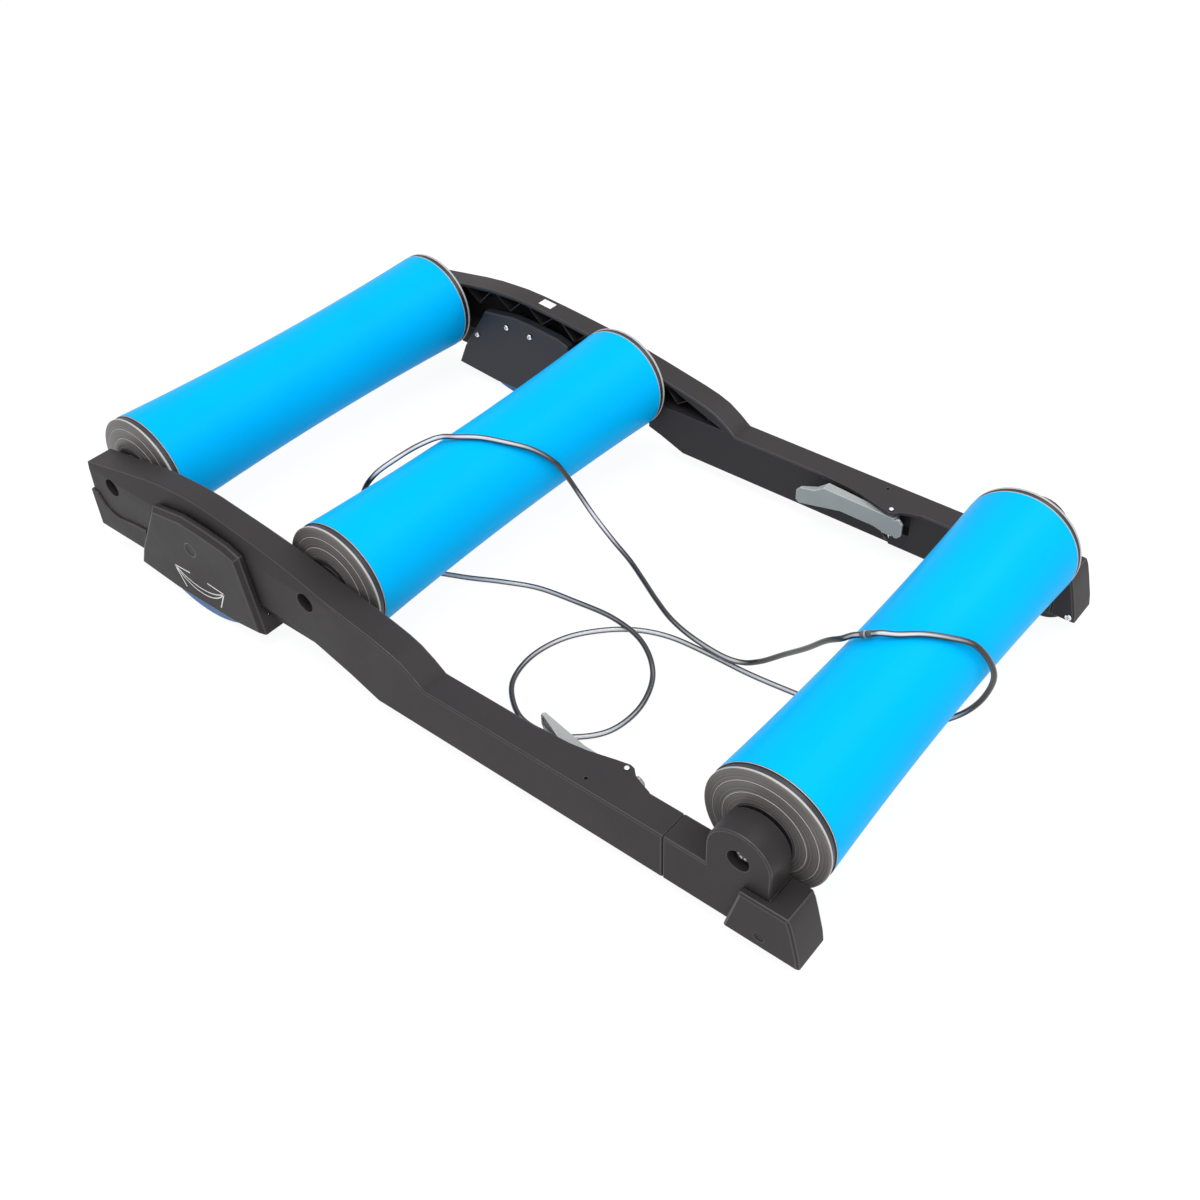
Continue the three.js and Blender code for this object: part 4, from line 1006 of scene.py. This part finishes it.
white_print = moulded(
    "white_print", tone(246, 246, 245), tone(252, 252, 251), (0.45, 0.6), cloud=300.0, grain=2500.0,
    height=0.006,
)
for side, sign in two_sides:
    arrow = bmesh.new()
    for sag in arrow_sags:
        stroke(arrow, arc_line(sag), arrow_stroke, sign * cover_face_y)
    for end in (1, -1):
        for reach, up in arrow_arms:
            arm = [(end * arrow_reach, 0), (end * (arrow_reach - reach), up)]
            stroke(arrow, arm, arrow_head_stroke, sign * cover_face_y)
    arrow_mesh = thickened(arrow, "arrow", (0, sign * print_height, 0), white_print)
    add_piece(f"{side}_swing_arrow", arrow_mesh, "frame")

# The rear end stands on two rockers: blue moulded saddles with a round sole, which hang on a steel
# pin in the housing and let the set swing a little to and fro under the rider.
rocker_rounding = 0.5
rocker_pin_radius = 4
rocker_pin_half = 18.9
rocker_pin_place = (-234, 223.05, 76)
rocker_blue = moulded(
    "rocker_blue", tone(0, 98, 160), tone(4, 112, 178), (0.3, 0.46), cloud=16.0, grain=1200.0, height=0.04,
)
# A painted highlight: the rocker's rounded edges are a lighter blue than the saddle.
rocker_edge_highlight = moulded(
    "rocker_edge_highlight", tone(52, 130, 200), tone(66, 142, 210), (0.3, 0.4), cloud=30.0, height=0.02,
)
pin_zinc = plated("pin_zinc", tone(160, 160, 164), tone(200, 200, 204), (0.22, 0.36))
for side, _ in two_sides:
    rocker_mesh = rounded(joined(f"{side}_rocker"), rocker_rounding, [rocker_blue, rocker_edge_highlight])
    add_piece(f"{side}_swing_rocker", rocker_mesh, f"{side}_rocker", [f"{side}_rocker"])
rocker_pin_form = turned(rod_rows(rocker_pin_radius, -rocker_pin_half, rocker_pin_half), [pin_zinc], sides=32)
fixings(
    "rocker_pins", rocker_pin_form, on_both_sides(*rocker_pin_place), "frame", pin_zinc,
    ["left_rocker_pin", "right_rocker_pin"],
)

# The clamp levers are channel-shaped blades of light grey plastic with a cam at the root, one
# moulding that is turned over for the right side. Each turns on an upright steel pin whose bright
# head shows on the sleeve's lug.
lever_rounding = 0.5
lever_pin_x = 225.6
lever_pin_y = 199
lever_pin_radius = 1.7
lever_pin_foot_z = 27.4
lever_pin_seat_z = 60.3
lever_grey = moulded(
    "lever_grey", tone(150, 154, 153), tone(160, 163, 162), (0.34, 0.48), cloud=22.0, grain=1500.0,
    height=0.03,
)
# A painted highlight: the lever's rounded edges are a lighter grey than the blade.
lever_edge_highlight = moulded(
    "lever_edge_highlight", tone(184, 187, 185), tone(196, 198, 196), (0.3, 0.4), cloud=40.0, height=0.02,
)
for side, _ in two_sides:
    lever_mesh = rounded(joined(f"{side}_lever"), lever_rounding, [lever_grey, lever_edge_highlight])
    add_piece(f"{side}_clamp_lever", lever_mesh, f"{side}_lever", [f"{side}_lever"])
lever_pin_rows = [
    (0, lever_pin_foot_z, 0), (lever_pin_radius - 0.3, lever_pin_foot_z, 0),
    (lever_pin_radius, lever_pin_foot_z + 0.3, 0), (lever_pin_radius, lever_pin_seat_z, 0),
    (2.1, lever_pin_seat_z, 0), (2.2, 60.4, 0), (2.2, 60.8, 0), (1.9, 61.2, 0), (1.4, 61.4, 0),
    (0.9, 61.5, 0), (0.7, 61.3, 0), (0, 61.3, 0),
]
fixings(
    "lever_pins", turned(lever_pin_rows, [screw_zinc], sides=40),
    [((lever_pin_x, sign * lever_pin_y, 0), (0, 0, 1)) for _, sign in two_sides],
    "frame", screw_zinc, ["left_lever_pin", "right_lever_pin"],
)

# The floor is a plain white sheet. The camera and reflections see it and the room as white,
# and the floor keeps a faint shadow of the set.
white = (1, 1, 1, 1)
floor_matt = (0.7, 0.7, 0.7, 1)
floor_faint = (0.13, 0.13, 0.13, 1)
floor_glow = 0.92
floor_half = 6
floor_corners = [(-floor_half, -floor_half, 0), (floor_half, -floor_half, 0)]
floor_corners += [(floor_half, floor_half, 0), (-floor_half, floor_half, 0)]
floor_mesh = bpy.data.meshes.new("floor")
floor_mesh.from_pydata(floor_corners, [], [(0, 1, 2, 3)])
floor = placed("floor", floor_mesh)


def seen(tree):
    """1 for rays from the camera, in reflections and through clear things, and 0 for the rest."""
    path = put(tree, "ShaderNodeLightPath").outputs
    direct = put(tree, "ShaderNodeMath", {
        0: path["Is Camera Ray"], 1: path["Is Glossy Ray"],
    }, operation="MAXIMUM")
    every = put(tree, "ShaderNodeMath", {
        0: direct.outputs[0], 1: path["Is Transmission Ray"],
    }, operation="MAXIMUM")
    return every.outputs[0]


white_floor = bpy.data.materials.new("white_floor")
white_floor.use_nodes = True
floor_tree = white_floor.node_tree
floor_tree.nodes.remove(floor_tree.nodes["Principled BSDF"])
matt = put(floor_tree, "ShaderNodeBsdfDiffuse", {"Color": floor_matt})
faint = put(floor_tree, "ShaderNodeBsdfDiffuse", {"Color": floor_faint})
glow = put(floor_tree, "ShaderNodeEmission", {"Color": white, "Strength": floor_glow})
lit = put(floor_tree, "ShaderNodeAddShader", {0: faint.outputs[0], 1: glow.outputs[0]})
mixed = put(floor_tree, "ShaderNodeMixShader", {0: seen(floor_tree), 1: matt.outputs[0], 2: lit.outputs[0]})
floor_tree.links.new(mixed.outputs[0], floor_tree.nodes["Material Output"].inputs["Surface"])
floor_mesh.materials.append(white_floor)

# Soft studio light: a white room, a large lamp overhead, another high beyond the left rail, and a
# small one ahead of the front roller.
room_light = 0.7
room = bpy.data.worlds.new("room")
room.use_nodes = True
scene.world = room
room_tree = room.node_tree
plain = room_tree.nodes["Background"]
plain.inputs["Color"].default_value = white
plain.inputs["Strength"].default_value = room_light
bright = put(room_tree, "ShaderNodeBackground", {"Color": white, "Strength": 1.0})
shown = put(room_tree, "ShaderNodeMixShader", {0: seen(room_tree), 1: plain.outputs[0], 2: bright.outputs[0]})
room_tree.links.new(shown.outputs[0], room_tree.nodes["World Output"].inputs["Surface"])
for name, place, size, power in (
    ("key_lamp", (0.2, -0.7, 2.4), 1.4, 24),
    ("back_lamp", (0.9, 1.6, 2.0), 1.4, 16),
    ("front_lamp", (1.7, -0.5, 1.1), 0.9, 6),
):
    lamp_data = bpy.data.lights.new(name, "AREA")
    lamp_data.size = size
    lamp_data.energy = power
    lamp = placed(name, lamp_data)
    lamp.location = place
    lamp.rotation_mode = "QUATERNION"
    lamp.rotation_quaternion = Vector(place).to_track_quat("Z", "Y")

scene.view_settings.view_transform = "Standard"
